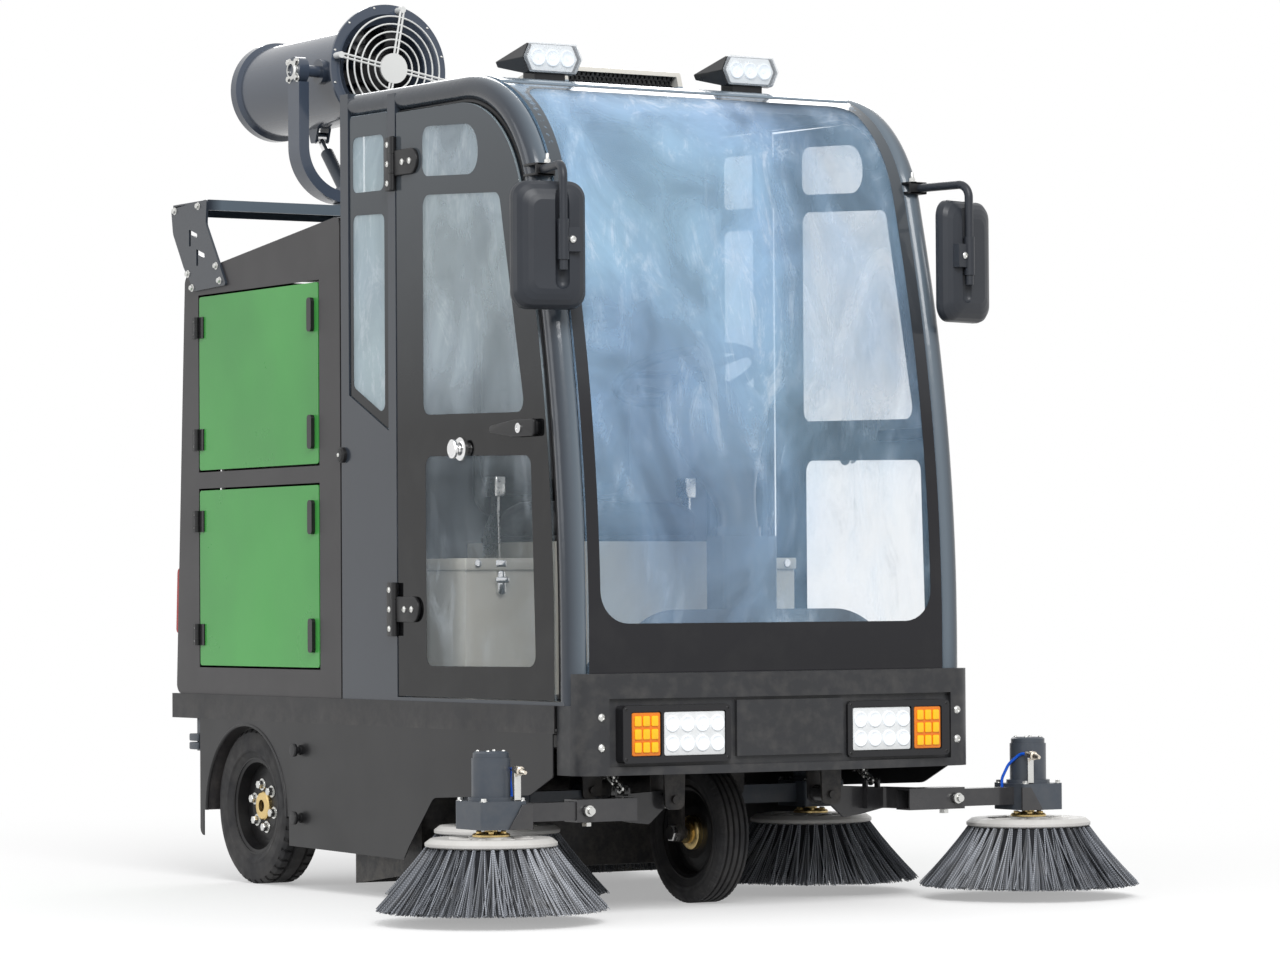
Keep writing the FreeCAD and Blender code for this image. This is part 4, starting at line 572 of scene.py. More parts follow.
def toward(outline, centre, angles):
    """Where the ray from a centre at each angle leaves an outline: the nearest crossing with its sides."""
    ray = np.stack([np.cos(angles), np.sin(angles)], 1)[:, None]
    a = (outline - centre)[None]
    side = (np.roll(outline, -1, 0) - outline)[None]
    cross = ray[..., 0] * side[..., 1] - ray[..., 1] * side[..., 0]
    cross = np.where(abs(cross) < 1e-9, 1e-9, cross)
    reach = (a[..., 0] * side[..., 1] - a[..., 1] * side[..., 0]) / cross
    share = (a[..., 0] * ray[..., 1] - a[..., 1] * ray[..., 0]) / cross
    good = (reach > 0) & (share > -1e-6) & (share < 1 + 1e-6)
    return centre + ray[:, 0] * np.where(good, reach, 1e9).min(1)[:, None]


def framed(outline, hole, low, high):
    """A flat frame from low to high between an outline and the hole in it, joined ray by ray."""
    centre = hole.mean(0)
    both_loops = np.concatenate([outline, hole]) - centre
    angles = np.unique(np.round(np.arctan2(both_loops[:, 1], both_loops[:, 0]), 5))
    outer, inner = toward(outline, centre, angles), toward(hole, centre, angles)
    loops = [(outer, low), (outer, high), (inner, high), (inner, low)]
    rings = [np.column_stack([loop, np.full(len(loop), w)]) for loop, w in loops]
    return surface(np.array(rings), closed=True)


SIDES = 3


def strands(paths, radius, up=UP):
    """Three-sided rods along many paths: each ring is the path's point plus r (cos p side + sin p normal)."""
    count, rows = paths.shape[:2]
    along = np.gradient(paths, axis=1)
    along /= np.linalg.norm(along, axis=-1, keepdims=True)
    side = np.cross(along, np.broadcast_to(up, along.shape))
    side /= np.linalg.norm(side, axis=-1, keepdims=True)
    normal = np.cross(along, side)
    p = np.linspace(0, TURN, SIDES, endpoint=False)[:, None]
    ring_points = np.cos(p) * side[:, :, None] + np.sin(p) * normal[:, :, None]
    points = paths[:, :, None] + np.asarray(radius)[..., None, None] * ring_points
    one = surface(points[0])[1][0]
    step = np.arange(count)[:, None] * (rows * SIDES)
    quads = (one[None] + step[..., None]).reshape(-1, 4)
    tips = np.arange(SIDES)[None] + (rows - 1) * SIDES + step
    return points.reshape(-1, 3), [quads, tips, step + np.arange(SIDES)[None, ::-1]]


def strand_values(paths, random):
    """Each strand's own shade and the millimetres run from its root, for every point of its rods."""
    run = np.linalg.norm(np.diff(paths, axis=1), axis=-1).cumsum(1)
    run = np.pad(run, ((0, 0), (1, 0))) + random.uniform(0, 40, (len(paths), 1))
    shade = np.repeat(random.random(len(paths))[:, None], paths.shape[1], 1)
    return {"shade": np.repeat(shade.ravel(), SIDES), "run": np.repeat(run.ravel(), SIDES)}


# Brushes

BRUSH_RADIUS = 250.0
BRUSH_DISC = 140.0
DISC_TOP = 179.0
TIP_HEIGHT = 27.0
TUFTS = 44


def bristle_paths(centre, count, random):
    """Bristles in tufts: from the disc's rim down and outwards, more spread and more curved towards their tips."""
    t = np.linspace(0, 1, 5)[None]
    tuft = random.integers(0, TUFTS, count)[:, None]
    row = random.random((count, 1))
    spread = random.normal(0, 1, (count, 1))
    angle = TURN * (tuft + 0.5 * (row > 0.5)) / TUFTS + spread * (0.012 + 0.035 * t)
    angle = angle + 0.03 * random.normal(0, 1, (count, 1)) * t
    start = BRUSH_DISC - 34 + 30 * row
    end = BRUSH_RADIUS - 58 * (1 - row) ** 0.8 - 7 * random.random((count, 1))
    radius = start + (end - start) * (0.86 * t + 0.14 * t ** 2)
    top = DISC_TOP - 26 + 8 * row
    low = TIP_HEIGHT + 7 * random.random((count, 1)) ** 2
    height = top + (low - top) * t
    points = np.stack([radius * np.cos(angle), radius * np.sin(angle), height + 0 * angle], -1)
    return points + np.asarray(centre)


def brush_disc():
    """Pale moulded disc with a stepped rim and ribs, its hub reaching up to the gearbox."""
    profile = rounded([(0, 146), (84, 146), (BRUSH_DISC, 163), (BRUSH_DISC, 170), (128, DISC_TOP), (96, DISC_TOP),
                       (88, 174), (52, 174), (46, DISC_TOP + 3), (0, DISC_TOP + 3)], 2.0, 3, closed=False)
    a = np.arange(8) * TURN / 8
    rib = block(50, 92, -4, 4, 172, 180, 1.5)
    turn = np.stack([np.stack([np.cos(a), -np.sin(a), 0 * a], -1), np.stack([np.sin(a), np.cos(a), 0 * a], -1),
                     np.tile((0.0, 0.0, 1.0), (8, 1))], 1)
    return together(turned(profile, 72), copies(rib, np.zeros((8, 3)), turn))


def brush_hub():
    """Zinc-plated hub with its bolts, and the spindle up to the gearbox."""
    top = 197.7
    hub = turned([(0, 176), (40, 176), (40, 186), (37, 189), (22, 189), (20, 192), (14, 192), (14, top), (0, top)], 40)
    return together(hub, bolts(hex_bolt(11, 6), around((0, 0, 188), 30, 6), UP))


def make_brush(name, node, count):
    """One pair of brushes: bristles, dark inner cone, disc and hub, in place of the plain skirts."""
    random = np.random.default_rng(len(name))
    centre = middle(node + "_right") * (1, 1, 0)
    paths = bristle_paths(centre, count, random)
    thick = settings().bristle_radius / MM * np.linspace(1.15, 0.8, 5)
    body = node + "_{}"
    sided(name + "_bristles", strands(paths, thick), "bristles", body, [body], weld=False, sharp=80.0,
          extra=strand_values(paths, random))
    # Painted shadow: a near-black cone stands where the inside of the bristle skirt lies in shade, and hides the gaps
    # between bristles.
    core = turned([(96, 158), (134, 158), (206, 44), (196, 40), (100, 148)], 60, closed=True)
    for part, look, shape in (("core", "bristle_shade_cone", core), ("disc", "disc_grey", brush_disc()),
                              ("hub", "gold_zinc", brush_hub())):
        sided(f"{name}_{part}", moved(shape, *centre), look, body, [body])


def roller_bristles():
    """Main roller: bristles standing out along two helices round the drum, and the drum itself."""
    random = np.random.default_rng(5)
    low, high = span("main_roller")
    centre = (low + high) / 2
    count, reach = settings().roller_bristles, 400.0
    along = random.uniform(-reach, reach, count)
    row = random.integers(0, 12, count)
    angle = TURN * row / 12 + along / reach * 1.4 + random.normal(0, 0.05, count)
    t = np.linspace(0, 1, 4)[None]
    radius = 60 + (138.0 - 60 - 5 * random.random((count, 1))) * t
    bent = angle[:, None] + random.normal(0, 0.03, (count, 1)) * t
    x = along[:, None] + 5 * random.normal(0, 1, (count, 1)) * t
    paths = np.stack([x + 0 * bent, radius * np.cos(bent), radius * np.sin(bent)], -1) + centre
    shape = strands(paths, np.linspace(1.5, 1.1, 4), ACROSS)
    new_piece("roller_bristles", shape, "bristles", "main_roller", ["main_roller"],
              weld=False, sharp=80.0, extra=strand_values(paths, random))
    half, axle = reach + 10, 14
    drum = turned([(0, low[0]), (axle, low[0]), (axle, -half), (62, -half), (62, half), (axle, half), (axle, high[0]),
                   (0, high[0])], 48)
    new_piece("roller_drum", moved(laid(drum, "x"), 0, *centre[1:]), "chassis_black", "main_roller", ["main_roller"])


# Wheels

def tyre_profile(radius, width, rim_radius, grooves, groove, depth):
    """Half-sections of sidewall with a rim ring either side of a flat tread that is cut by straight grooves."""
    h = width / 2
    wall = rounded([(0.78 * h, rim_radius), (0.9 * h, rim_radius + 12), (0.95 * h + 1.2, rim_radius + 15),
                    (0.96 * h + 1.2, rim_radius + 19), (0.97 * h, rim_radius + 22), (h, 0.86 * radius),
                    (0.93 * h, radius - 9), (0.78 * h, radius)], [8, 1, 1, 4, 16, 7], 3, closed=False)
    cuts = [(s - side * groove / 2 * lean, radius - d) for s in sorted(grooves, reverse=True)
            for side, lean, d in ((-1, 1.25, 0), (-1, 0.8, depth), (1, 0.8, depth), (1, 1.25, 0))]
    return np.concatenate([wall, np.array(cuts).reshape(-1, 2), (wall * (-1, 1))[::-1]])


def tyre(profile, radius, slots, slot_depth, slot_from):
    """The profile turned about X, with slots across the shoulders that are staggered from side to side."""
    s, r = profile.T[:, :, None]
    share = np.array([0, 0.05, 0.3, 0.35, 0.68])
    pitch = TURN / slots
    a = (np.arange(slots)[:, None] + share).ravel()[None] * pitch + (s < 0) * pitch / 2
    in_slot = np.tile((share > 0.01) & (share < 0.31), slots)[None]
    sunk = np.where(in_slot & (abs(s) > slot_from) & (r > radius - 9.5), slot_depth, 0.0)
    r = r - sunk
    return surface(np.stack([s + 0 * a, r * np.cos(a), r * np.sin(a)], -1), closed=True)


def treaded(node, rim_radius, grooves, groove, depth, *slots):
    """A tyre with its tread, as large as the plain one and in its place."""
    low, high = span(node)
    radius = (high[2] - low[2]) / 2
    profile = tyre_profile(radius, high[0] - low[0], rim_radius, grooves, groove, depth)
    return moved(tyre(profile, radius, *slots), *middle(node))


def make_tyres():
    """The front tyre with four fine grooves, and the rear ones with two grooves and deep slots."""
    front = treaded("front_tyre", 106, (-22.5, -7.5, 7.5, 22.5), 5.0, 6.0, 64, 1.2, 29)
    new_piece("front_tyre_tread", front, "tyre_rubber", "front_wheel", ["front_tyre"])
    rear = treaded("rear_tyre_right", 117, (-18, 18), 7.0, 7.0, 40, 5.0, 22)
    sided("rear_tyre_tread", rear, "tyre_rubber", "rear_wheel_{}", ["rear_tyre_{}"])


def make_hubs():
    """Wheel nuts, gold-plated hub rings and the nuts on the front axle's ends."""
    x, y, z = middle("rear_rim_right")
    nuts = bolts(hex_bolt(19, 14), around((x - 14, y, z), 52, 6, "x", 0.3), OUT)
    sided("rear_wheel_nuts", nuts, "bolt_silver", "rear_wheel_{}")
    ring_shape = turned([(14.5, 10), (34, 10), (34, 20), (31, 23), (20, 24), (14.5, 24)], 40, closed=True)
    sided("rear_hub", bolts(ring_shape, [(x, y, z)], OUT), "gold_zinc", "rear_wheel_{}")
    x, y, z = middle("front_rim")
    hub = turned([(14.5, 14), (38, 14), (38, 24), (34, 27), (24, 29), (24, 38), (14.5, 38)], 40, closed=True)
    fasteners("front_hub", hub, [(x, y, z)], OUT, "gold_zinc", "front_wheel")
    nut = turned([(15.2, 0), (19.6, 0), (19.6, 10), (17, 12), (15.2, 12)], 6, closed=True)
    fasteners("axle_nuts", nut, [(-64.2, y, z)], body="steering_fork")


# Glazing

def door_outline():
    """The door glass: the cab line at the door's inset, closed along the rear and bottom edges."""
    line = trimmed(cab_line(DOOR_INSET), DOOR_BOTTOM, DOOR_REAR)
    return np.concatenate([line, [(DOOR_REAR, DOOR_BOTTOM)]])


DOOR_WINDOWS = [
    (DOOR_BOTTOM, 1041.0, [(129, 534), (612, 531), (612, 1001), (146, 990)], 26.0),
    (1041.0, 1601.0, [(170, 1084), (621, 1094), (620, 1588), (277, 1568)], 26.0),
    (1601.0, 1900.0, [(366, 1615), (621, 1630), (620, 1742), (372, 1728)], [44.0, 26.0, 26.0, 60.0]),
]
HINGE_HEIGHTS = (658.0, 1669.0)
HINGE_PIN = 748.0
QUARTER_WINDOWS = [
    (1000.0, 1590.0, [(806, 1100), (956, 1170), (956, 1566), (806, 1560)], 18.0),
    (1590.0, 1900.0, [(808, 1614), (956, 1618), (956, 1746), (808, 1742)], 18.0),
]


def windows(outline, bands, x0, x1):
    """Black printed bands round the clear windows of one pane, drawn band by band up the pane."""
    shapes = [framed(between_heights(outline, low, high), rounded(hole, radius, 6), x0, x1)
              for low, high, hole, radius in bands]
    return laid(together(*shapes), "x")


def make_doors():
    """Glass doors: pane, printed bands, pull knob, latch with its lock, and hinge leaves."""
    outline = door_outline()
    x = span("cab_door_right")[0][0] + 26.0
    knob = turned([(0, 0), (26, 0), (26, 4), (22, 8), (13, 10), (12, 13), (19, 16), (22, 20), (21, 24), (17, 26),
                   (15, 24.5), (0, 24.5)], 36)
    grip = [(110, 1030), (200, 1030), (300, 1042), (300, 1058), (200, 1068), (110, 1068)]
    grip = rounded(grip, [8, 30, 7, 7, 30, 8], 5)
    lever = together(laid(plate(grip, x - 15, x - 5, 3), "x"), block(x - 6, x, 112, 196, 1034, 1064, 8, 1, "x"),
                     block(x + 6, x + 20, 110, 290, 1036, 1062, 8, 3, "x"))
    lock = turned([(0, 0), (11, 0), (11, 2.5), (7, 3), (7, 1.5), (0, 1.5)], 24)
    heads = [(x - 8, y, z) for z in HINGE_HEIGHTS for y in (666, 700)]
    for name, look, shape in (
        ("pane", "door_glass", laid(plate(outline, x + 0.4, x + 6, 0.8), "x")),
        ("print", "black_print", windows(offset_in(outline, 0.6), DOOR_WINDOWS, x, x + 0.4)),
        ("knob", "chrome", bolts(knob, [(x, 450, 1012)], OUT)),
        ("lever", "trim_black", lever),
        ("lock", "chrome", bolts(lock, [(x - 15, 172, 1049)], OUT)),
        ("hinge_leaves", "trim_black", together(*(hinge_leaf(x, z) for z in HINGE_HEIGHTS))),
        ("hinge_screws", "bolt_silver", bolts(cap_screw(7.5, 4), heads, OUT)),
    ):
        sided("door_" + name, shape, look, "cab_door_{}", ["cab_door_{}"])


def hinge_leaf(x, z):
    """Round-ended leaf on the door's glass with its barrel on the hinge pin."""
    outline = rounded([(636, z - 29), (738, z - 29), (738, z + 29), (636, z + 29)], [28, 2, 2, 28], 6)
    leaf = laid(plate(outline, x - 8, x, 2.0), "x")
    barrel = moved(turned([(0, -22), (8, -22), (8, 22), (0, 22)], 24), x - 7, HINGE_PIN, z)
    return together(leaf, barrel, block(x - 5, x, HINGE_PIN - 16, HINGE_PIN, z - 22, z + 22, 0.5, 0.4))


def make_quarter_panes():
    """Printed borders on the panes behind the doors."""
    x = span("quarter_glass")[0][0] - 0.2
    edge = np.array([(786.6, 1066.4), (971.0, 1151.6), (971.0, 1795.0), (786.6, 1791.5)])
    shape = windows(rounded(edge, [6, 6, 14, 14], 5), QUARTER_WINDOWS, x - 0.5, x)
    new_piece("quarter_print", both(shape), "black_print")


def glass_sheet(shape, inset):
    """A flat shape in x and run along the cab line, laid on that line at an inset less its thickness."""
    line = trimmed(cab_line(inset), GLASS_FOOT, GLASS_TOP)
    run = np.pad(np.linalg.norm(np.diff(line, axis=0), axis=1).cumsum(), (1, 0))
    along = np.gradient(line, run, axis=0)
    points, faces = shape
    x, s, w = points.T
    y, z = (np.interp(s, run, line[:, k]) for k in (0, 1))
    slope_y, slope_z = (np.interp(s, run, along[:, k]) for k in (0, 1))
    return np.stack([x, y - w * slope_z, z + w * slope_y], -1), faces


def subdivided(outline, step):
    """An outline with points added so that no side is longer than a step."""
    ahead = np.roll(outline, -1, 0)
    parts = [np.linspace(a, b, max(2, int(np.hypot(*(b - a)) / step) + 1))[:-1] for a, b in zip(outline, ahead)]
    return np.concatenate(parts)


def make_windshield_print():
    """Black printed border of the curved front glass, in steps short enough to lie on its bend."""
    inset, step, wide = 4.0, 12, GLASS_HALF
    line = trimmed(cab_line(inset), GLASS_FOOT, GLASS_TOP)
    length = np.linalg.norm(np.diff(line, axis=0), axis=1).sum()
    outer = subdivided(np.array([(-wide, 1.0), (wide, 1.0), (wide, length - 1), (-wide, length - 1)]), step)
    half, low, high = wide - 30, 112, length - 42
    hole = rounded([(-half, low), (half, low), (half, high), (-half, high)], [70, 70, 46, 46], 8)
    shape = framed(outer, subdivided(hole, step), 0.05, 0.5)
    new_piece("windshield_print", glass_sheet(shape, inset), "front_print", sharp=50.0)


# Lamps, mirrors and bumper

def make_headlamps():
    """White blocks of eight reflector cups and amber blocks of nine cells in the bumper's pods."""
    face = span("headlamps")[0][1]
    white = block(-320, -166, face + 2, face + 8, 344, 438, 5, 2, "y")
    new_piece("headlamp_reflectors", both(white), "lamp_white")
    cups = [(x, face + 2.4, z) for x in (-300, -262, -224, -186) for z in (370, 412)]
    cup = turned([(17, 0), (17, 3), (15, 3.6), (12, 1.6), (6, 0.8), (5, 1.8), (0, 2.4)], 28)
    fasteners("headlamp_cups", cup, cups, AHEAD, "lamp_glow")
    amber = block(-401, -330, face + 1.5, face + 5, 345, 437, 4, 1.5, "y")
    cells = [(x, face + 1.6, z) for x in (-387, -366, -345) for z in (363, 391, 419)]
    cell = block(-8.5, 8.5, -11, 11, 0, 3.4, 3, 2)
    new_piece("direction_lamps", both(amber), "lamp_amber")
    fasteners("direction_cells", cell, cells, AHEAD, "lamp_amber_light")
    screws = [(x, face + 1, z) for x in (-416, -160) for z in (338, 444)]
    fasteners("headlamp_screws", cap_screw(4, 2.2), screws, AHEAD, "trim_black")


def make_roof_lamps():
    """Three reflector cups behind a clear bevelled lens that fills each lamp's pointed front."""
    face = span("roof_lamps")[0][1]
    x, z = 265.0, 1894.0
    front = rounded([(-76, 0), (-60, -34), (60, -34), (76, 0), (60, 34), (-60, 34)], [6, 5, 5, 6, 5, 5], 3)
    for name, share, low, high, bevel, made in (("roof_lamp_reflectors", 0.86, -1.0, 1.0, 0.5, "lamp_white"),
                                                ("roof_lamp_lenses", 1.0, -11.0, 0.5, 5.0, "lamp_clear")):
        one = laid(plate(front * share, face + low, face + high, bevel), "y")
        shape = together(*(moved(one, side * x, 0, z) for side in (-1, 1)))
        new_piece(name, shape, made)
    cups = [(side * x + dx, face - 0.8, z) for side in (-1, 1) for dx in (-38, 0, 38)]
    cup = turned([(18.5, 0), (18.5, 5), (16.5, 5.6), (13, 2.4), (6, 1.4), (5, 3), (0, 3.8)], 28)
    new_piece("roof_lamp_cups", bolts(cup, cups, AHEAD), "lamp_glow")
    screws = [(side * x + dx, face + 62, z + 18) for side in (-1, 1) for dx in (-44, 44)]
    new_piece("roof_lamp_screws", bolts(cap_screw(4, 3), screws, (0, 0.2, 1)), "bolt_silver")


def make_mirror_glass():
    """Mirror panes in the backs of the heads, turned towards the driver with them, and the arms' clamps."""
    outline = rounded([(-95, 1307), (49, 1307), (49, 1559), (-95, 1559)], 31, 6)
    pane = laid(plate(outline, 47.2, 49.4, 0.8), "y")
    turn = np.array(Matrix.Rotation(np.radians(-15.0), 3, "Z"))
    arm_line = (-530, -25, 0)
    new_piece("mirror_glass", both(copies(pane, [arm_line], turn)), "mirror")
    stud = together(hex_bolt(13, 9), turned([(0, 9), (4, 9), (4, 20), (3, 22), (0, 22)], 12))
    studs = bolts(stud, [(-485, 160, 1618.5), (-480, 124, 1619)], UP)
    screw = copies(bolts(cap_screw(8, 5), [(20, -4, 1443)], AHEAD), [arm_line], turn)
    clamp = together(*(block(-516, -464, 114, 170, z, z + 5, 6, 1) for z in (1592, 1614)))
    clamp = together(clamp, block(-514, -466, 114, 119, 1592, 1619, 2, 1, "y"))
    new_piece("mirror_clamps", both(clamp), "trim_black")
    new_piece("mirror_studs", both(together(studs, screw)), "bolt_silver")


def make_bumper_bolts():
    """Two screws at each end of the bumper."""
    places = [(side * 462, -57.2, z) for side in (-1, 1) for z in (427.6, 363.3)]
    new_piece("bumper_bolts", bolts(cap_screw(9, 6), places, AHEAD), "bolt_silver")


# Body fittings

def make_body_fittings():
    """Skirt knobs, arch trims, hinge plates, buffers and the fasteners along the sides."""
    x = span("side_skirt_right")[0][0]
    knob = turned([(0, 0), (12, 0), (12, 4), (8, 6), (8, 9), (15, 12), (16, 18), (14, 21), (0, 22)], 26)
    places = [(x, 1218, z) for z in (328, 169)]
    fasteners("skirt_knobs", knob, places, OUT, "trim_black")
    button = bolts(turned([(0, 0), (18, 0), (18, 8), (14, 13), (6, 14), (0, 14)], 28), [(-512.5, 1003, 1015)], OUT)
    new_piece("panel_buttons", both(button), "trim_black")
    pin = bolts(cap_screw(5, 3), [(-526.3, 1003, 1015)], OUT)
    new_piece("panel_button_pins", both(pin), "bolt_silver")
    buffer = together(*(block(-516, -486, 1762, 1812, z, z + 18, 5, 3) for z in (315, 336)))
    buffer = together(buffer, block(-504, -498, 1748, 1790, 312, 392, 1, 0.5))
    new_piece("tail_buffers", both(buffer), "drive_grey")
    a = np.linspace(0, np.pi, 48)
    path = np.stack([0 * a + x + 1.5, 1500 + 212 * np.cos(a), 170 + 212 * np.sin(a)], 1)
    new_piece("arch_trims", both(carried(ring(4.5, 10), path, ACROSS)), "trim_black")
    side = span("tail_rack")[0][0]
    rack = [(side, *at) for at in ((1875, 1645), (1745, 1648), (1648, 1495), (1629, 1458), (1803, 1485), (1780, 1449))]
    fasteners("rack_bolts", hex_bolt(12, 7), rack)
    screws = [(-516, 1771, z + dz) for z in (1349, 1074, 874, 597) for dz in (-16, 16)]
    fasteners("bay_hinge_screws", cap_screw(4.5, 3), screws)
    shapes = [block(-522, -513, 750, 782, z - 61, z + 61, 5, 1.5, "x") for z in HINGE_HEIGHTS]
    shapes += [moved(turned([(0, low), (8.5, low), (8.5, high), (0, high)], 24), -520, HINGE_PIN, z)
               for z in HINGE_HEIGHTS for low, high in ((-60, -23), (23, 60))]
    new_piece("door_hinge_plates", both(together(*shapes)), "trim_black")
    heads = [(-522, 768, z + dz) for z in HINGE_HEIGHTS for dz in (-44, 0, 44)]
    fasteners("door_hinge_bolts", cap_screw(7, 4), heads)


def make_drive_fittings():
    """Bolts and cable glands of the brush drives, pins and end caps of the arms, and the front drives' gussets."""
    for name, body, x, y in (("front", "front_arm_{}", -700, 0), ("inner", "inner_arm_{}", -419, 463)):
        corners = [(x + dx, y + dy, 257) for dx in (-46, 46) for dy in (-50, 50)]
        cap = [(x + 28 * np.cos(a), y + 28 * np.sin(a), 361) for a in (0.8, 2.4, 4.0, 5.5)]
        shape = together(bolts(hex_bolt(11, 7), corners, UP), bolts(cap_screw(4, 3), cap, UP))
        sided(name + "_drive_bolts", shape, "bolt_silver", body)
        gland = turned([(0, -4), (9, -4), (9, 8), (7, 10), (7, 16), (0, 16)], 12)
        sided(name + "_drive_gland", bolts(gland, [(x, y + 41, 335)], BEHIND), "trim_black", body)
    pin = turned([(0, -36), (12, -36), (12, -31), (8, -30), (8, 30), (12, 31), (12, 38), (8, 39), (8, 48), (0, 48)], 16)
    drop = turned([(0, -34), (11, -34), (11, -26), (0, -26)], 6)
    shape = together(bolts(pin, [(-480, 0, 230)], AHEAD), moved(drop, -466, 0, 230))
    sided("arm_pins", shape, "bolt_silver", "front_arm_{}")
    outline = [(-694, 198), (-636, 198), (-636, 250), (-660, 250)]
    gusset = laid(plate(outline, -66, -60, 1), "y")
    sided("arm_gussets", gusset, "arm_black", "front_arm_{}")


def make_spray_nozzles():
    """A strip with a nozzle in front of each front motor, and the short tube that feeds it from the arm."""
    strip = together(block(-675, -659, -56, -53, 257, 317, 1, 0.5), block(-675, -659, -56, -34, 257, 260, 1, 0.5))
    sided("nozzle_strips", strip, "bolt_silver", "front_arm_{}")
    jet = turned([(0, -16), (6, -16), (6, 0), (10, 1), (10, 12), (7, 14), (7, 22), (4, 32), (0, 32)], 12)
    jets = bolts(jet, [(-667, -56, 322)], (0, -1, -0.15))
    sided("nozzles", jets, "brass_pale", "front_arm_{}")
    run = rounded([(-667, -44, 323), (-664, -22, 325), (-650, 6, 300), (-640, 18, 268), (-640, 18, 245)], [26, 30, 30],
                  6, closed=False)
    sided("nozzle_tubes", carried(ring(3.4, 12), run, ACROSS), "tube_blue", "front_arm_{}")


# Scoop and mist fan

# The mist fan's trunnion axis: its station and height
FAN_STATION = 1848.0
FAN_HEIGHT = 2010.0


def make_scoop_grille():
    """Honeycomb in the scoop's mouth: hexagonal cells with thin walls, row beside row."""
    cell = 13.0
    rows, cols = 3, 24
    inner, outer, deep = cell / 2 - 0.9, cell / 2 + 0.55, 8
    wall = turned([(inner, 0), (outer, 0), (outer, deep), (inner, deep)], 6, closed=True)
    row, col = np.mgrid[0:rows, 0:cols]
    x = (col + 0.5 * (row % 2) - cols / 2 + 0.25) * cell * 0.93
    z = (row - (rows - 1) / 2) * cell * 0.82 + 1872
    places = np.stack([x, 0 * x + 612, z], -1).reshape(-1, 3)
    places = places[abs(places[:, 0]) < 140]
    frame_turn = facing(AHEAD)[0] @ np.array(Matrix.Rotation(np.pi / 6, 3, "Z"))
    new_piece("scoop_grille", copies(wall, places, frame_turn), "trim_black", slot="roof_pale", sharp=20.0)


def make_mist_details():
    """Flange bolts, outlet spray ring with its nozzles, trunnion bearings and motor fins of the mist fan."""
    low, high = span("mist_barrel")
    y0, y1, y, z = low[1], high[1], FAN_STATION, FAN_HEIGHT
    front = bolts(hex_bolt(9, 5), around((0, y0 + 8, z), 152, 12, "y"), BEHIND)
    new_piece("barrel_bolts", front, "bolt_silver", "mist_barrel")
    pipe = carried(ring(5.0, 10), around((0, y1 - 6, z), 112, 90, "y"), BEHIND, closed=True)
    jet = turned([(0, 0), (5, 0), (5, 5), (3, 8), (3, 11), (1, 11), (0, 9)], 10)
    jets = bolts(jet, around((0, y1 - 8, z), 112, 24, "y"), BEHIND)
    new_piece("spray_ring", together(pipe, jets), "brass", "mist_barrel")
    x = span("mist_yoke")[0][0]
    caps = bolts(hex_bolt(13, 8), [(x, y + dy, z + dz) for dy in (-21, 21) for dz in (-21, 21)], OUT)
    boss = bolts(turned([(16, 0), (24, 0), (24, 6), (20, 9), (16, 9)], 28, closed=True), [(x, y, z)], OUT)
    new_piece("bearing_bolts", both(together(caps, boss)), "bolt_silver", "mist_yoke")
    fins = [turned([(52, h), (57, h), (57, h + 3), (52, h + 3)], 40, closed=True) for h in np.arange(30, 165, 11.0)]
    new_piece("motor_fins", copies(together(*fins), [(0, y + 20, z)], facing(BEHIND)), "drive_grey", "mist_barrel")
    turntable = bolts(hex_bolt(15, 9), around((0, y, 1691), 58, 8, "z", 0.2), UP)
    new_piece("turntable_bolts", turntable, "bolt_silver", "mist_yoke")
    rivets = bolts(cap_screw(3.5, 2.5), around((0, y0, z), 157, 12, "y", 0.26), AHEAD)
    new_piece("guard_rivets", rivets, "bolt_silver", "mist_barrel")


# Cabin

def pad(name, shape, thickness_cap):
    """A cushion: its block is remeshed and blown up a little by a cloth pressure, with the movement capped."""
    piece = new_piece(name, shape, "seat_vinyl", "machine", ["seat"], sharp=60.0)
    piece.parent = None
    swell(piece, thickness_cap)
    soften = piece.modifiers.new("Soften", "SUBSURF")
    soften.levels = soften.render_levels = 1
    apply_modifiers(piece)
    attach(piece, "machine")
    return piece


def apply_modifiers(piece):
    """The piece's mesh as its modifiers leave it, without them."""
    shown = piece.evaluated_get(bpy.context.evaluated_depsgraph_get())
    mesh = bpy.data.meshes.new_from_object(shown)
    piece.modifiers.clear()
    piece.data = mesh


def swell(piece, cap):
    """Cloth pressure on a remeshed skin for twenty frames, each point held within the cap of where it began."""
    remesh = piece.modifiers.new("Remesh", "REMESH")
    remesh.mode = "VOXEL"
    remesh.voxel_size = settings().pad_voxel
    remesh.use_smooth_shade = True
    apply_modifiers(piece)
    before = np.zeros(len(piece.data.vertices) * 3)
    piece.data.vertices.foreach_get("co", before)
    cloth = piece.modifiers.new("Cloth", "CLOTH")
    cloth.settings.use_pressure = True
    cloth.settings.uniform_pressure_force = 4.0
    cloth.settings.effector_weights.gravity = 0.0
    cloth.point_cache.frame_start, cloth.point_cache.frame_end = 1, 20
    for step in range(1, 21):
        bpy.context.scene.frame_set(step)
    apply_modifiers(piece)
    after = np.zeros(len(before))
    piece.data.vertices.foreach_get("co", after)
    move = (after - before).reshape(-1, 3)
    length = np.linalg.norm(move, axis=1, keepdims=True)
    move *= np.minimum(1.0, cap * MM / np.maximum(length, 1e-9))
    piece.data.vertices.foreach_set("co", (before.reshape(-1, 3) + move).ravel())
    piece.data.update()
    bpy.context.scene.frame_set(1)


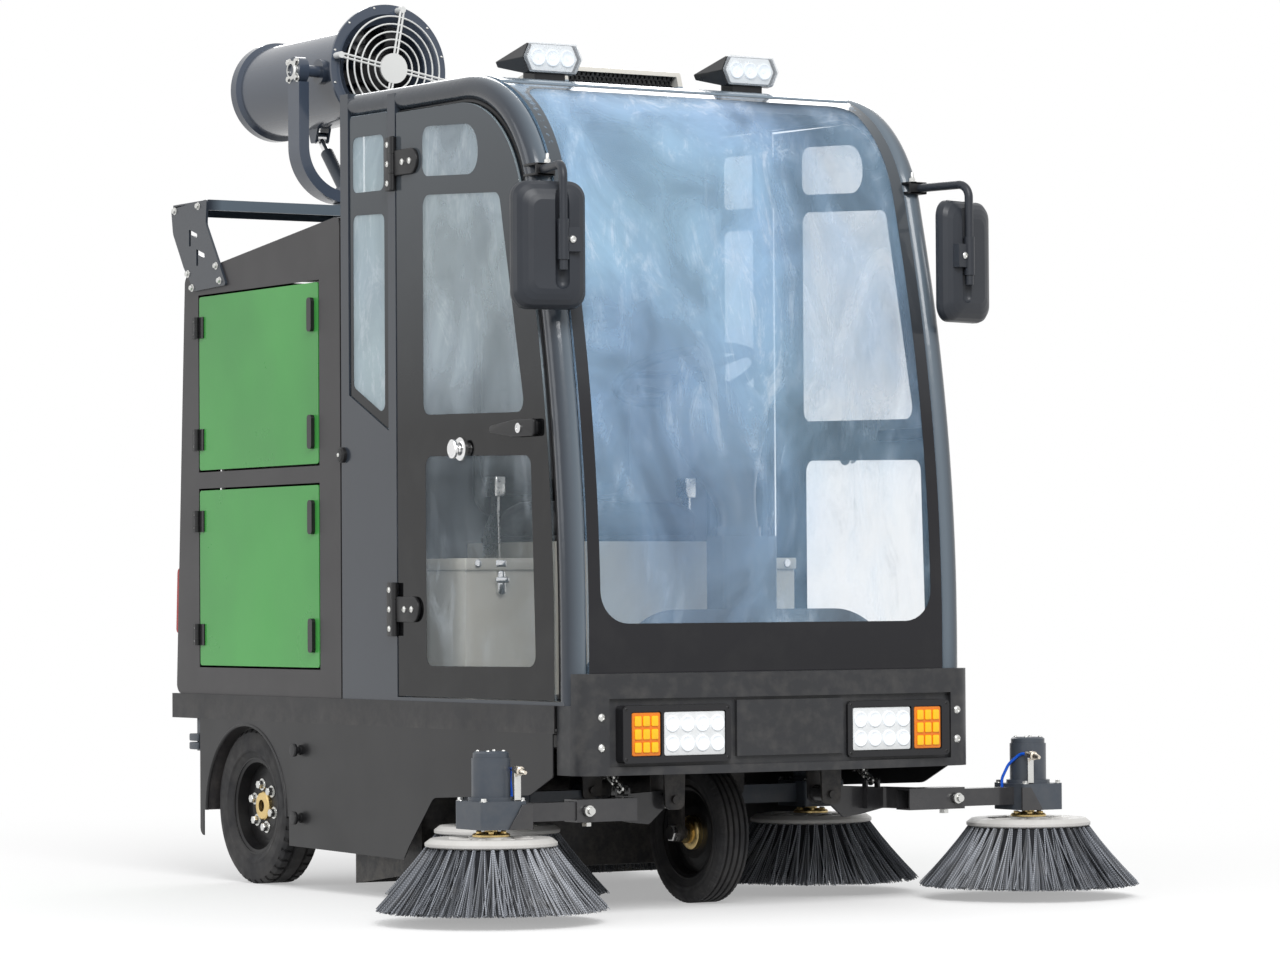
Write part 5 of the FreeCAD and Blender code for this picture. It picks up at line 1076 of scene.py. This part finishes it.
def make_seat():
    """Seat and back cushions with side bolsters, and the piping along their edges."""
    low, high = span("seat")
    wide = high[0] - 12
    base = block(-wide, wide, low[1] + 12, high[1] - 96, low[2] + 10, low[2] + 76, 60, 24)
    pad("seat_cushion", base, settings().pad_swell / MM)
    back = block(-wide + 8, wide - 8, high[1] - 84, high[1] - 20, low[2] + 96, high[2] - 10, 70, 24, "y")
    pad("seat_back", back, settings().pad_swell / MM)
    half, front, rear, height = wide - 46, low[1] + 62, high[1] - 150, low[2] + 86
    loop = rounded([(-half, front, height), (half, front, height), (half, rear, height), (-half, rear, height)], 60, 8)
    new_piece("seat_piping", carried(ring(3.0, 8), loop, UP, closed=True), "trim_black", slot="seat_vinyl")
    shell = block(-wide + 20, wide - 20, high[1] - 22, high[1] - 8, low[2] + 60, high[2] - 40, 60, 4, "y")
    tray = block(-wide + 16, wide - 16, low[1] + 30, high[1] - 24, low[2], low[2] + 14, 40, 3)
    new_piece("seat_shell", together(shell, tray), "trim_black", "machine", ["seat"], "seat_vinyl")


def make_cab_trim():
    """Seals, floor mat, locker lids with locks and hasps, belt brackets, and the column's screen and stalks."""
    out = 4.0
    line = trimmed(cab_line(DOOR_INSET - out), DOOR_BOTTOM + out, DOOR_REAR + out)
    path = np.concatenate([line, [(DOOR_REAR + out, DOOR_BOTTOM + out)]])
    x = span("cab_door_right")[0][0] + 41.0
    seal = carried(ring(6.0, 10), np.column_stack([np.full(len(path), x), path]), ACROSS)
    new_piece("door_seals", both(seal), "trim_black")
    wide = span("cab_floor")[1][0] - 2
    new_piece("bulkhead_seal", block(-wide, wide, 970, 986, 1792, 1818, 2), "trim_black")
    low, high = span("cab_floor")
    mat = block(low[0] + 20, high[0] - 20, 160, 535, 460.3, 464, 24, 1)
    new_piece("floor_mat", mat, "floor_mat")
    low, high = span("cab_boxes")
    lids = block(low[0] - 3, -250, 553, high[1], 745.3, 772, 4, 2.5)
    new_piece("locker_lids", both(lids), "locker_cream")
    hasp = [block(-368, -340, 551, 559.5, 752, 768, 4, 1.5, "y"), block(-364, -344, 548, 559.5, 690, 744, 8, 2, "y"),
            block(-372, -336, 544, 551, 716, 730, 6, 2, "y")]
    lock = bolts(turned([(0, 0), (9, 0), (9, 5), (6, 6), (0, 5)], 20), [(-415, 553, 760)], AHEAD)
    new_piece("locker_latches", both(together(lock, *hasp)), "chrome")
    outline = [(720, 771), (800, 771), (790, 840), (756, 880), (756, 930), (726, 930), (726, 880)]
    bracket = together(laid(plate(np.array(outline), -262, -256, 1), "x"), block(-274, -244, 716, 766, 915, 960, 6, 2))
    new_piece("belt_brackets", both(bracket), "bolt_silver")
    screen = block(-46, 46, 188, 236, 1157, 1162, 6, 1.5)
    new_piece("column_screen", screen, "black_print", slot="trim_black")
    stalk = rounded([(-60, 262, 1128), (-110, 268, 1140), (-168, 262, 1146)], 40, 5, closed=False)
    stalks = carried(ring(5.0, 10), stalk, BEHIND, size=np.linspace(0.8, 1.5, len(stalk)))
    new_piece("column_stalks", both(stalks), "trim_black")


# Finishes by name, and which one each CAD solid takes

SOLID_FINISHES = {
    "chassis_black": "chassis_frame front_subframe rear_axle roller_tunnel steering_fork",
    "anthracite": "side_skirt_right side_skirt_left rear_box tailgate",
    "pillar_grey": "cab_frame tail_rack",
    "roof_pale": "roof_panel",
    "windshield_glass": "windshield",
    "quarter_glass": "quarter_glass",
    "cab_grey": "cab_floor",
    "locker_cream": "cab_boxes",
    "column_grey": "steering_console",
    "trim_black": "steering_wheel mist_fan",
    "mirror_shell": "mirrors",
    "bumper_black": "bumper",
    "lamp_case": "headlamps roof_lamps",
    "lamp_red": "rear_lamps",
    "battery_case": "battery_block",
    "tank_plastic": "water_tank",
    "panel_green": "upper_bay_door_right upper_bay_door_left lower_bay_door_right lower_bay_door_left",
    "wheel_black": "front_rim rear_rim_right rear_rim_left",
    "drive_grey": "front_drive_right front_drive_left inner_drive_right inner_drive_left tilt_jack",
    "arm_black": "front_arm_right front_arm_left",
    "chain_zinc": "front_chain_right front_chain_left",
    "fan_grey": "mist_barrel mist_yoke",
    "guard_white": "mist_guard",
    "chrome": "tilt_rod",
}


# Distances from the middle, in metres, beyond which handles and hinges stand out in black
BOX_SIDE = 0.5124
PILLAR_SIDE = 0.5185
# Height, in metres, above which the roof is its scoop; below it the roof's lip is the cab's blue-grey, painted lighter
# as a sky reflection
SCOOP_FOOT = 1.864


def make_finishes():
    """Every finish that the solids and pieces take, the painted ones with their second colours."""
    chosen = settings()
    black = (0.012, 0.012, 0.013)
    box = paint("anthracite", chosen.body_colour, 0.36, 0.12, 0.25)
    two_tone(box, "X", BOX_SIDE, black)
    pillar = paint("pillar_grey", chosen.pillar_colour, 0.22, 0.35)
    # Painted reflection: nearer the middle than the pillars' sides, the paint turns to the lighter hoop colour, which
    # stands in for the sky reflected on the hoops' front faces and on the rack's bars.
    inner = pillar.step(pillar.maths("ABSOLUTE", pillar.axis("X")), 0.476, 0.508, 1.0, 0.0)
    pillar.tint(inner, chosen.hoop_reflection_colour)
    two_tone(pillar, "X", PILLAR_SIDE, black)
    green = paint("panel_green", chosen.door_colour, 0.3, 0.2)
    worn = scaled(chosen.door_colour, 0.72)[:1] + scaled(chosen.door_colour, 0.8)[1:]
    green.clouded(1.6, 3, 0.42, 0.62, 0.7, worn)
    two_tone(green, "X", BOX_SIDE, black)
    roof = paint("roof_pale", (0.6, 0.58, 0.53), 0.25, 0.5)
    # Painted reflection: below the scoop the roof's lip takes the hoop reflection colour made lighter still, standing
    # in for the sky reflected at grazing angles.
    two_tone(roof, "Z", SCOOP_FOOT, scaled(chosen.hoop_reflection_colour, 1.8), above=False, absolute=False)
    paint("chassis_black", (0.014, 0.014, 0.016), 0.45, 0.1, 0.5)
    paint("cab_grey", (0.1, 0.11, 0.12), 0.5, 0.0)
    paint("locker_cream", (0.55, 0.53, 0.47), 0.4, 0.2)
    paint("column_grey", (0.09, 0.11, 0.13), 0.4, 0.3)
    paint("wheel_black", (0.006, 0.006, 0.007), 0.45, 0.05, 0.05)
    paint("drive_grey", (0.06, 0.072, 0.09), 0.4, 0.15, 0.2)
    paint("arm_black", (0.038, 0.038, 0.041), 0.25, 0.4, 0.1)
    paint("fan_grey", (0.055, 0.072, 0.104), 0.22, 0.5)
    paint("guard_white", (0.75, 0.76, 0.75), 0.35, 0.2)
    paint("disc_grey", (0.6, 0.59, 0.57), 0.5, 0.1, 0.3)
    plastic("trim_black", (0.013, 0.013, 0.014), 0.38)
    plastic("mirror_shell", (0.026, 0.03, 0.038), 0.4)
    plastic("bumper_black", (0.03, 0.031, 0.034), 0.4, 700.0, 0.0001, 0.12)
    plastic("lamp_case", (0.015, 0.015, 0.017), 0.3)
    plastic("battery_case", (0.03, 0.03, 0.035), 0.5)
    plastic("tank_plastic", (0.45, 0.45, 0.42), 0.45)
    # Near-black cone: painted shadow inside the bristle skirts.
    plastic("bristle_shade_cone", (0.01, 0.011, 0.014), 0.9)
    plastic("tube_blue", (0.01, 0.12, 0.75), 0.3)
    bare_metal("chain_zinc", (0.62, 0.62, 0.6), 0.3)
    bare_metal("chrome", (0.8, 0.8, 0.8), 0.12)
    bare_metal("bolt_silver", (0.68, 0.68, 0.66), 0.28)
    bare_metal("gold_zinc", (0.75, 0.56, 0.25), 0.33)
    bare_metal("brass", (0.7, 0.5, 0.2), 0.3)
    bare_metal("brass_pale", (0.75, 0.68, 0.58), 0.25)
    bare_metal("mirror", (0.9, 0.9, 0.9), 0.02)
    # Light blue glass colours: a painted sky reflection carried by each pane's veil.
    tinted_glass("windshield_glass", chosen.glass_reflection_colour, 0.26, 0.56, (0.6, 1.5, 0.38, 1.0), (0.06, 0.2, 1.0, 0.42))
    tinted_glass("door_glass", (0.68, 0.83, 0.96), 0.24, 0.44, (0.95, 1.2, 0.2, 1.0))
    tinted_glass("quarter_glass", (0.64, 0.8, 0.94), 0.34, 0.5)
    for name, shade in (("black_print", 0.003), ("front_print", 0.017)):
        printed = Finish(name, (shade, shade, shade * 1.2), 0.06, Coat_Weight=0.1, Coat_Roughness=0.03,
                         Specular_IOR_Level=0.22)
        printed.rough(printed.noise(4.0, 6), 0.04, 0.1)
        printed.clouded(9.0, 6, 0.5, 0.8, 0.3, (0.04, 0.04, 0.04))
        # Painted reflection: the print turns a lighter blue-grey from 1.05 m up to 1.75 m, standing in for the sky
        # reflected on it.
        printed.tint(printed.step(printed.axis("Z"), 1.05, 1.75, 0.0, 0.9), (0.1, 0.115, 0.13))
    lens("lamp_white", (0.86, 0.88, 0.89))
    lens("lamp_glow", (0.92, 0.96, 1.0), 0.2)
    lens("lamp_clear", (0.85, 0.9, 0.95), 0.0, 0.28)
    lens("lamp_amber", (0.85, 0.22, 0.01), 0.05)
    lens("lamp_amber_light", (1.0, 0.56, 0.01), 0.14)
    lens("lamp_red", (0.45, 0.01, 0.01))
    rubber("tyre_rubber", (0.028, 0.028, 0.03), 0.35)
    bristle_finish("bristles", (0.016, 0.018, 0.022), chosen.bristle_colour)
    woven_mat("floor_mat", (0.03, 0.03, 0.032))
    vinyl("seat_vinyl", (0.018, 0.018, 0.02))


def dress_solids():
    """Every CAD solid takes its finish and smooth shading up to its real edges."""
    for name, nodes in SOLID_FINISHES.items():
        for node in nodes.split():
            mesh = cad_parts[node].data
            mesh.materials.clear()
            mesh.materials.append(finish(name))


# Stage

CAMERA_PLACE = (-5.482511, -9.379934, 0.686841)
CAMERA_AZIMUTH = -31.7388
CAMERA_RISE = 1.44424
CAMERA_ROLL = -0.35998
CAMERA_LENS = 128.402


def make_camera():
    """The camera of the photograph: turned about Z, tipped up and rolled a little."""
    camera = placed("camera", bpy.data.cameras.new("camera"))
    camera.data.lens = CAMERA_LENS
    camera.data.sensor_width = 36.0
    camera.location = CAMERA_PLACE
    turn = Matrix.Rotation(np.radians(CAMERA_AZIMUTH), 3, "Z") @ Matrix.Rotation(np.radians(90 + CAMERA_RISE), 3, "X")
    camera.rotation_euler = (turn @ Matrix.Rotation(np.radians(CAMERA_ROLL), 3, "Z")).to_euler()
    camera.data.clip_end = 60.0
    bpy.context.scene.camera = camera
    return camera


def area_light(name, place, target, size, power, tint=(1.0, 1.0, 1.0)):
    light = placed(name, bpy.data.lights.new(name, "AREA"))
    light.data.shape = "RECTANGLE"
    light.data.size, light.data.size_y = size
    light.data.energy = power
    light.data.color = tint
    light.location = place
    light.rotation_euler = (Vector(target) - Vector(place)).to_track_quat("-Z", "Y").to_euler()
    return light


def make_floor():
    """Wide floor that takes the object's shadow and turns to plain white away from it."""
    reach = 60.0
    mesh = bpy.data.meshes.new("floor")
    corners = [(-reach, -reach, 0), (reach, -reach, 0), (reach, reach, 0), (-reach, reach, 0)]
    mesh.from_pydata(corners, [], [(0, 1, 2, 3)])
    floor = placed("floor", mesh)
    made = Finish("floor_white", (0.62, 0.62, 0.62), 0.7, Specular_IOR_Level=0.0)
    made.rough(made.noise(0.8, 2), 0.6, 0.8)
    away = made.node("ShaderNodeVectorMath", Vector=made.place)
    away.operation = "LENGTH"
    share = made.step(away.outputs["Value"], 1.2, 4.0, 0.36, 1.0)
    made.tint(made.step(away.outputs["Value"], 1.2, 4.0), (0.0, 0.0, 0.0))
    glow = made.maths("MULTIPLY", share, background_rays(made.tree))
    made.feed(made.shader.inputs["Emission Strength"], glow)
    made.shader.inputs["Emission Color"].default_value = (1.0, 1.0, 1.0, 1.0)
    mesh.materials.append(made.material)
    return floor


def background_rays(tree):
    """One for the rays that show the white background: the camera's, reflected and transmitted ones."""
    path = tree.nodes.new("ShaderNodeLightPath")
    seen = path.outputs["Is Camera Ray"]
    for kind in ("Is Glossy Ray", "Is Transmission Ray"):
        most = tree.nodes.new("ShaderNodeMath")
        most.operation = "MAXIMUM"
        tree.links.new(seen, most.inputs[0])
        tree.links.new(path.outputs[kind], most.inputs[1])
        seen = most.outputs[0]
    return seen


def make_world():
    """Pale light all round: full white to the camera and to reflections, softer as a light."""
    world = bpy.data.worlds.new("studio")
    world.use_nodes = True
    bpy.context.scene.world = world
    tree = world.node_tree
    level = tree.nodes.new("ShaderNodeMapRange")
    tree.links.new(background_rays(tree), level.inputs["Value"])
    level.inputs["To Min"].default_value = settings().world_light
    level.inputs["To Max"].default_value = 1.0
    background = tree.nodes["Background"]
    background.inputs["Color"].default_value = (1.0, 1.0, 1.0, 1.0)
    tree.links.new(level.outputs[0], background.inputs["Strength"])


def make_stage():
    bpy.context.scene.view_settings.view_transform = "Standard"
    make_world()
    lights = [
        area_light("key", (-2.4, -7.0, 6.0), (0, 0, 0.9), (4.0, 4.0), 520.0),
        area_light("side", (-6.5, 1.5, 3.0), (0, 0.2, 1.0), (3.5, 4.0), 90.0, (0.96, 0.98, 1.0)),
        area_light("back", (4.0, 6.0, 5.0), (0, 0, 1.0), (4.0, 3.0), 180.0),
    ]
    make_floor()
    make_camera()


# The add-on: its settings, one operator for each group of pieces, and its panel

def size_setting(name, about, default):
    return FloatProperty(name=name, description=about, default=default, unit="LENGTH")


def colour_setting(name, about, *default):
    return FloatVectorProperty(name=name, description=about, default=default, subtype="COLOR")


class SweeperSettings(bpy.types.PropertyGroup):
    """Sizes and colours that the pieces are made from"""

    bristle_count: IntProperty(name="Bristles", description="Bristles on each front brush", default=5200, min=200)
    roller_bristles: IntProperty(name="Roller bristles", description="Bristles on the roller", default=5000, min=200)
    bristle_radius: size_setting("Bristle radius", "Radius of one bristle at its root", 0.0013)
    pad_voxel: size_setting("Pad voxel", "Grid of the cushions before they swell", 0.007)
    pad_swell: size_setting("Pad swell", "Most that a cushion's skin moves", 0.018)
    world_light: FloatProperty(name="World light", description="Strength of the light all round", default=0.6)
    body_colour: colour_setting("Body", "Box, skirts and tailgate", 0.036, 0.034, 0.036)
    pillar_colour: colour_setting("Pillars", "Sides of the cab's pillars", 0.032, 0.04, 0.053)
    # Hoops: a lighter copy of the pillars' paint, a painted sky reflection on the hoops' front faces and on the rack's
    # bars.
    hoop_reflection_colour: colour_setting("Hoops", "Front faces of the hoops and the rack's bars", 0.13, 0.165, 0.2)
    door_colour: colour_setting("Service doors", "Service door paint", 0.07, 0.39, 0.075)
    # Glass: the light blue of the windshield's painted sky reflection.
    glass_reflection_colour: colour_setting("Glass", "Tint of the windshield", 0.42, 0.66, 1.0)
    # Bristle colour: the light shade that bristles take at random and in their painted crimp highlights.
    bristle_colour: colour_setting("Bristle colour", "Light shade of the bristles", 0.55, 0.58, 0.64)


def operator(name, label, what, *steps):
    """An operator class that runs its steps in order."""

    def execute(self, context):
        for step in steps:
            step()
        return {"FINISHED"}

    words = {"bl_idname": "sweeper." + name, "bl_label": label, "bl_options": {"REGISTER", "UNDO"},
             "__doc__": what, "execute": execute}
    return type("SWEEPER_OT_" + name, (bpy.types.Operator,), words)


OPERATORS = [
    operator("finishes", "Finishes", "Makes every material and dresses the CAD solids", make_finishes, dress_solids),
    operator("brushes", "Side brushes", "Makes the four side brushes",
             lambda: make_brush("front", "front_brush", settings().bristle_count),
             lambda: make_brush("inner", "inner_brush", int(settings().bristle_count * 0.7))),
    operator("roller", "Main roller", "Makes the main roller's drum and bristles", roller_bristles),
    operator("wheels", "Wheels", "Makes the treaded tyres, hubs and nuts", make_tyres, make_hubs),
    operator("glazing", "Glazing", "Makes the doors' panes and the printed borders of the glass", make_doors,
             make_quarter_panes, make_windshield_print),
    operator("lamps", "Lamps and mirrors", "Makes the lamps' insides and the mirrors' glass", make_headlamps,
             make_roof_lamps, make_mirror_glass, make_bumper_bolts),
    operator("fittings", "Fittings", "Makes knobs, trims, bolts and hinge plates", make_body_fittings,
             make_drive_fittings, make_spray_nozzles),
    operator("mist_fan", "Mist fan", "Makes the fan's bolts, spray ring and the roof scoop's grille", make_scoop_grille,
             make_mist_details),
    operator("cabin", "Cabin", "Makes the seat and the cab's trim", make_seat, make_cab_trim),
    operator("stage", "Stage", "Makes the floor, the lights and the camera", make_stage),
]


class SWEEPER_PT_panel(bpy.types.Panel):
    """Settings and the operators in the order in which they run"""

    bl_idname = "SWEEPER_PT_panel"
    bl_label = "Road Sweeper"
    bl_space_type = "VIEW_3D"
    bl_region_type = "UI"
    bl_category = "Sweeper"

    def draw(self, context):
        for name in SweeperSettings.__annotations__:
            self.layout.prop(context.scene.sweeper, name)
        for made in OPERATORS:
            self.layout.operator(made.bl_idname)


def register():
    for made in (SweeperSettings, *OPERATORS, SWEEPER_PT_panel):
        bpy.utils.register_class(made)
    bpy.types.Scene.sweeper = PointerProperty(type=SweeperSettings)


def unregister():
    del bpy.types.Scene.sweeper
    for made in (SWEEPER_PT_panel, *reversed(OPERATORS), SweeperSettings):
        bpy.utils.unregister_class(made)


def main():
    register()
    for made in OPERATORS:
        getattr(bpy.ops.sweeper, made.bl_idname.split(".")[1])()


if __name__ == "__main__":
    main()
